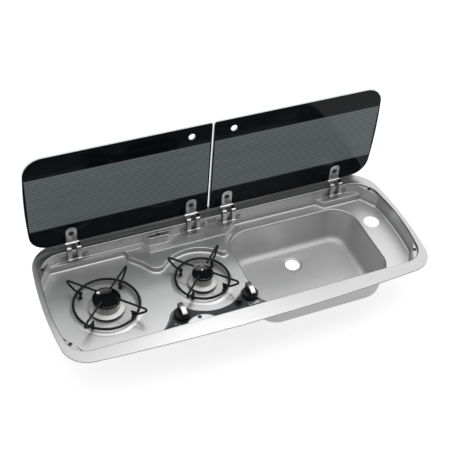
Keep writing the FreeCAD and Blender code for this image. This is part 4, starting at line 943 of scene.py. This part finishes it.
def cross_screw(radius, rise, turn_to=Matrix.Identity(4)):
    """A dark domed screw head with a cross recess, facing up unless it is turned."""
    mesh = domed("screw_head", radius, rise, 0.3 * rise, 0.16 * rise, 10, 48)
    head = link("screw_head", mesh, dark_plating)
    slot_size = Matrix.Diagonal((radius * SLOT_LONG, radius * SLOT_WIDE, rise, 1))
    for turn in (0, math.pi / 2):
        work = bmesh.new()
        place = Matrix.Rotation(turn, 4, "Z") @ Matrix.Translation((0, 0, rise)) @ slot_size
        bmesh.ops.create_cube(work, size=1, matrix=place)
        recess = bpy.data.objects.new("recess", mesh_from("recess", work))
        scene.collection.objects.link(recess)
        cutter = head.modifiers.new("recess", "BOOLEAN")
        cutter.operation = "DIFFERENCE"
        cutter.object = recess
        finished(head)
        bpy.data.objects.remove(recess)
    mesh = head.data
    bpy.data.objects.remove(head)
    mesh.transform(turn_to)
    return mesh


nut_low, nut_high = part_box("left_lid_nuts")
screw_height = middle_of("left_lid_screws").z
nut_radius, nut_rise = (nut_high.z - nut_low.z) / 2, nut_high.y - nut_low.y
for side in SIDES:
    xs = [SIGN[side] * x for x in HINGE_X.values()]
    screw = cross_screw(LID_SCREW_RADIUS, LID_SCREW_RISE, ONTO_FRONT)
    copies_of(f"{side}_cross_screws", screw, [(x, TONGUE_FRONT, screw_height) for x in xs], dark_plating,
              f"{side}_lid", "lid_fastener", [f"{side}_lid_screws"])
    nut = domed("cap_nut", nut_radius, nut_rise, 0.35 * nut_rise, 0.2 * nut_rise, 12, 48)
    nut.transform(ONTO_BACK)
    copies_of(f"{side}_cap_nuts", nut, [(x, nut_low.y, screw_height) for x in xs], dark_plating,
              f"{side}_lid", "lid_fastener", [f"{side}_lid_nuts"])

# %% [markdown]
# ## Eyelets and fixing screws
# The panel's plate is held by two eyelets with dark middles, and six screws hold the unit down through
# its corner ledges, the boss and the half moon. Both are small fasteners that the lathe and the copies
# make quickly.

# %% Fasteners of the base
EYE_RADIUS, EYE_HOLE, EYE_TOP, EYE_FLOOR, EYE_INSET = 5.0 * MM, 2.8 * MM, 0.98 * MM, 0.15 * MM, 5 * MM
PIP_RADIUS, PIP_LOW, PIP_HIGH = EYE_HOLE * 0.88, 0.1 * MM, 0.3 * MM
FIXING_RADIUS, FIXING_RISE = 4.6 * MM, 1.8 * MM
FIXINGS = [(420, 117), (-420, 117), (420, -107), (-420, -107), (-137, 139.5), (-137, -129)]

clip_low, clip_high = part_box("panel_clip")
clip_y = (clip_low.y + clip_high.y) / 2
eye_spots = [(x, clip_y, clip_high.z) for x in (clip_low.x + EYE_INSET, clip_high.x - EYE_INSET)]
eye_profile = [(0, 0), (EYE_RADIUS, 0)] + bowed((EYE_RADIUS, 0), (EYE_HOLE, EYE_TOP), 0.5 * MM, 8)
eye_profile += [(EYE_HOLE, EYE_TOP), (EYE_HOLE * 0.9, EYE_FLOOR), (0, EYE_FLOOR)]
copies_of("clip_eyelets", turned("eyelet", eye_profile, 32), eye_spots, bright_plate, "base", "clip")
pip_profile = [(0, PIP_LOW), (PIP_RADIUS, PIP_LOW), (PIP_RADIUS, PIP_HIGH), (0, PIP_HIGH)]
copies_of("clip_eyelet_pips", turned("eyelet_pip", pip_profile, 24), eye_spots, rubber, "base", "clip")

fixing_spots = [(x * MM, y * MM, RIM_TOP - CORNER_DROP) for x, y in FIXINGS]
fixing = cross_screw(FIXING_RADIUS, FIXING_RISE)
copies_of("fixing_screws", fixing, fixing_spots, dark_plating, "base", "lid_fastener")

# %% [markdown]
# ## Rivets
# Two rivets hold each hinge bracket to the back wall, with one head in front and one behind. The two
# heads are separate pieces because each needs its own turn.

# %% Rivet heads
RIVET_RADIUS, RIVET_RISE, RIVET_ASIDE = 3.0 * MM, 1.0 * MM, 29.0 * MM
rivet_low, rivet_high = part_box("hinge_rivets")
rivet_z = (rivet_low.z + rivet_high.z) / 2
rivet_x = [SIGN[side] * HINGE_X[place] + way * RIVET_ASIDE for side, place in HINGES for way in (-1, 1)]
for name, turn_to, y, nodes in (("rivet_heads", ONTO_FRONT, rivet_low.y + RIVET_RISE, ["hinge_rivets"]),
                                ("rivet_tails", ONTO_BACK, rivet_high.y - RIVET_RISE, [])):
    rivet = domed("rivet", RIVET_RADIUS, RIVET_RISE, 0, 0.3 * MM, 8, 28)
    rivet.transform(turn_to)
    copies_of(name, rivet, [(x, y, rivet_z) for x in rivet_x], bracket_steel, "base", "bracket_steel", nodes)

# %% [markdown]
# ## Rubber feet
# Four feet carry each support. A foot flares at the bottom and grips the wire with a round head, so its
# profile has a cone, a neck and a ball.

# %% Feet
FOOT_INSET, FOOT_WIDE, FOOT_STEM, FOOT_BALL = 8 * MM, 4.6 * MM, 2.6 * MM, 4.4 * MM
FOOT_EASE, FOOT_SIDE, FOOT_CONE = 0.6 * MM, 0.8 * MM, 3.0 * MM
for side in SIDES:
    low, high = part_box(f"{side}_support_feet")
    tall, reach = high.z - low.z, RING[side] - FOOT_INSET
    neck = tall - 2 * FOOT_BALL * 0.9
    profile = [(0, 0), (FOOT_WIDE - FOOT_EASE, 0), (FOOT_WIDE, FOOT_SIDE), (FOOT_STEM, FOOT_CONE)]
    profile += bowed((FOOT_STEM, neck), (FOOT_STEM, tall), FOOT_BALL - FOOT_STEM, 12)
    profile += [(FOOT_STEM, tall), (0, tall)]
    centre = middle_of(f"{side}_burner_cap")
    turns = [FIRST_TURN + quarter * math.pi / 2 for quarter in range(ARMS)]
    spots = [(centre.x + reach * math.cos(a), centre.y + reach * math.sin(a), low.z) for a in turns]
    foot = turned("rubber_foot", profile, 32)
    copies_of(f"{side}_rubber_feet", foot, spots, rubber, "base", "support_foot", [f"{side}_support_feet"])
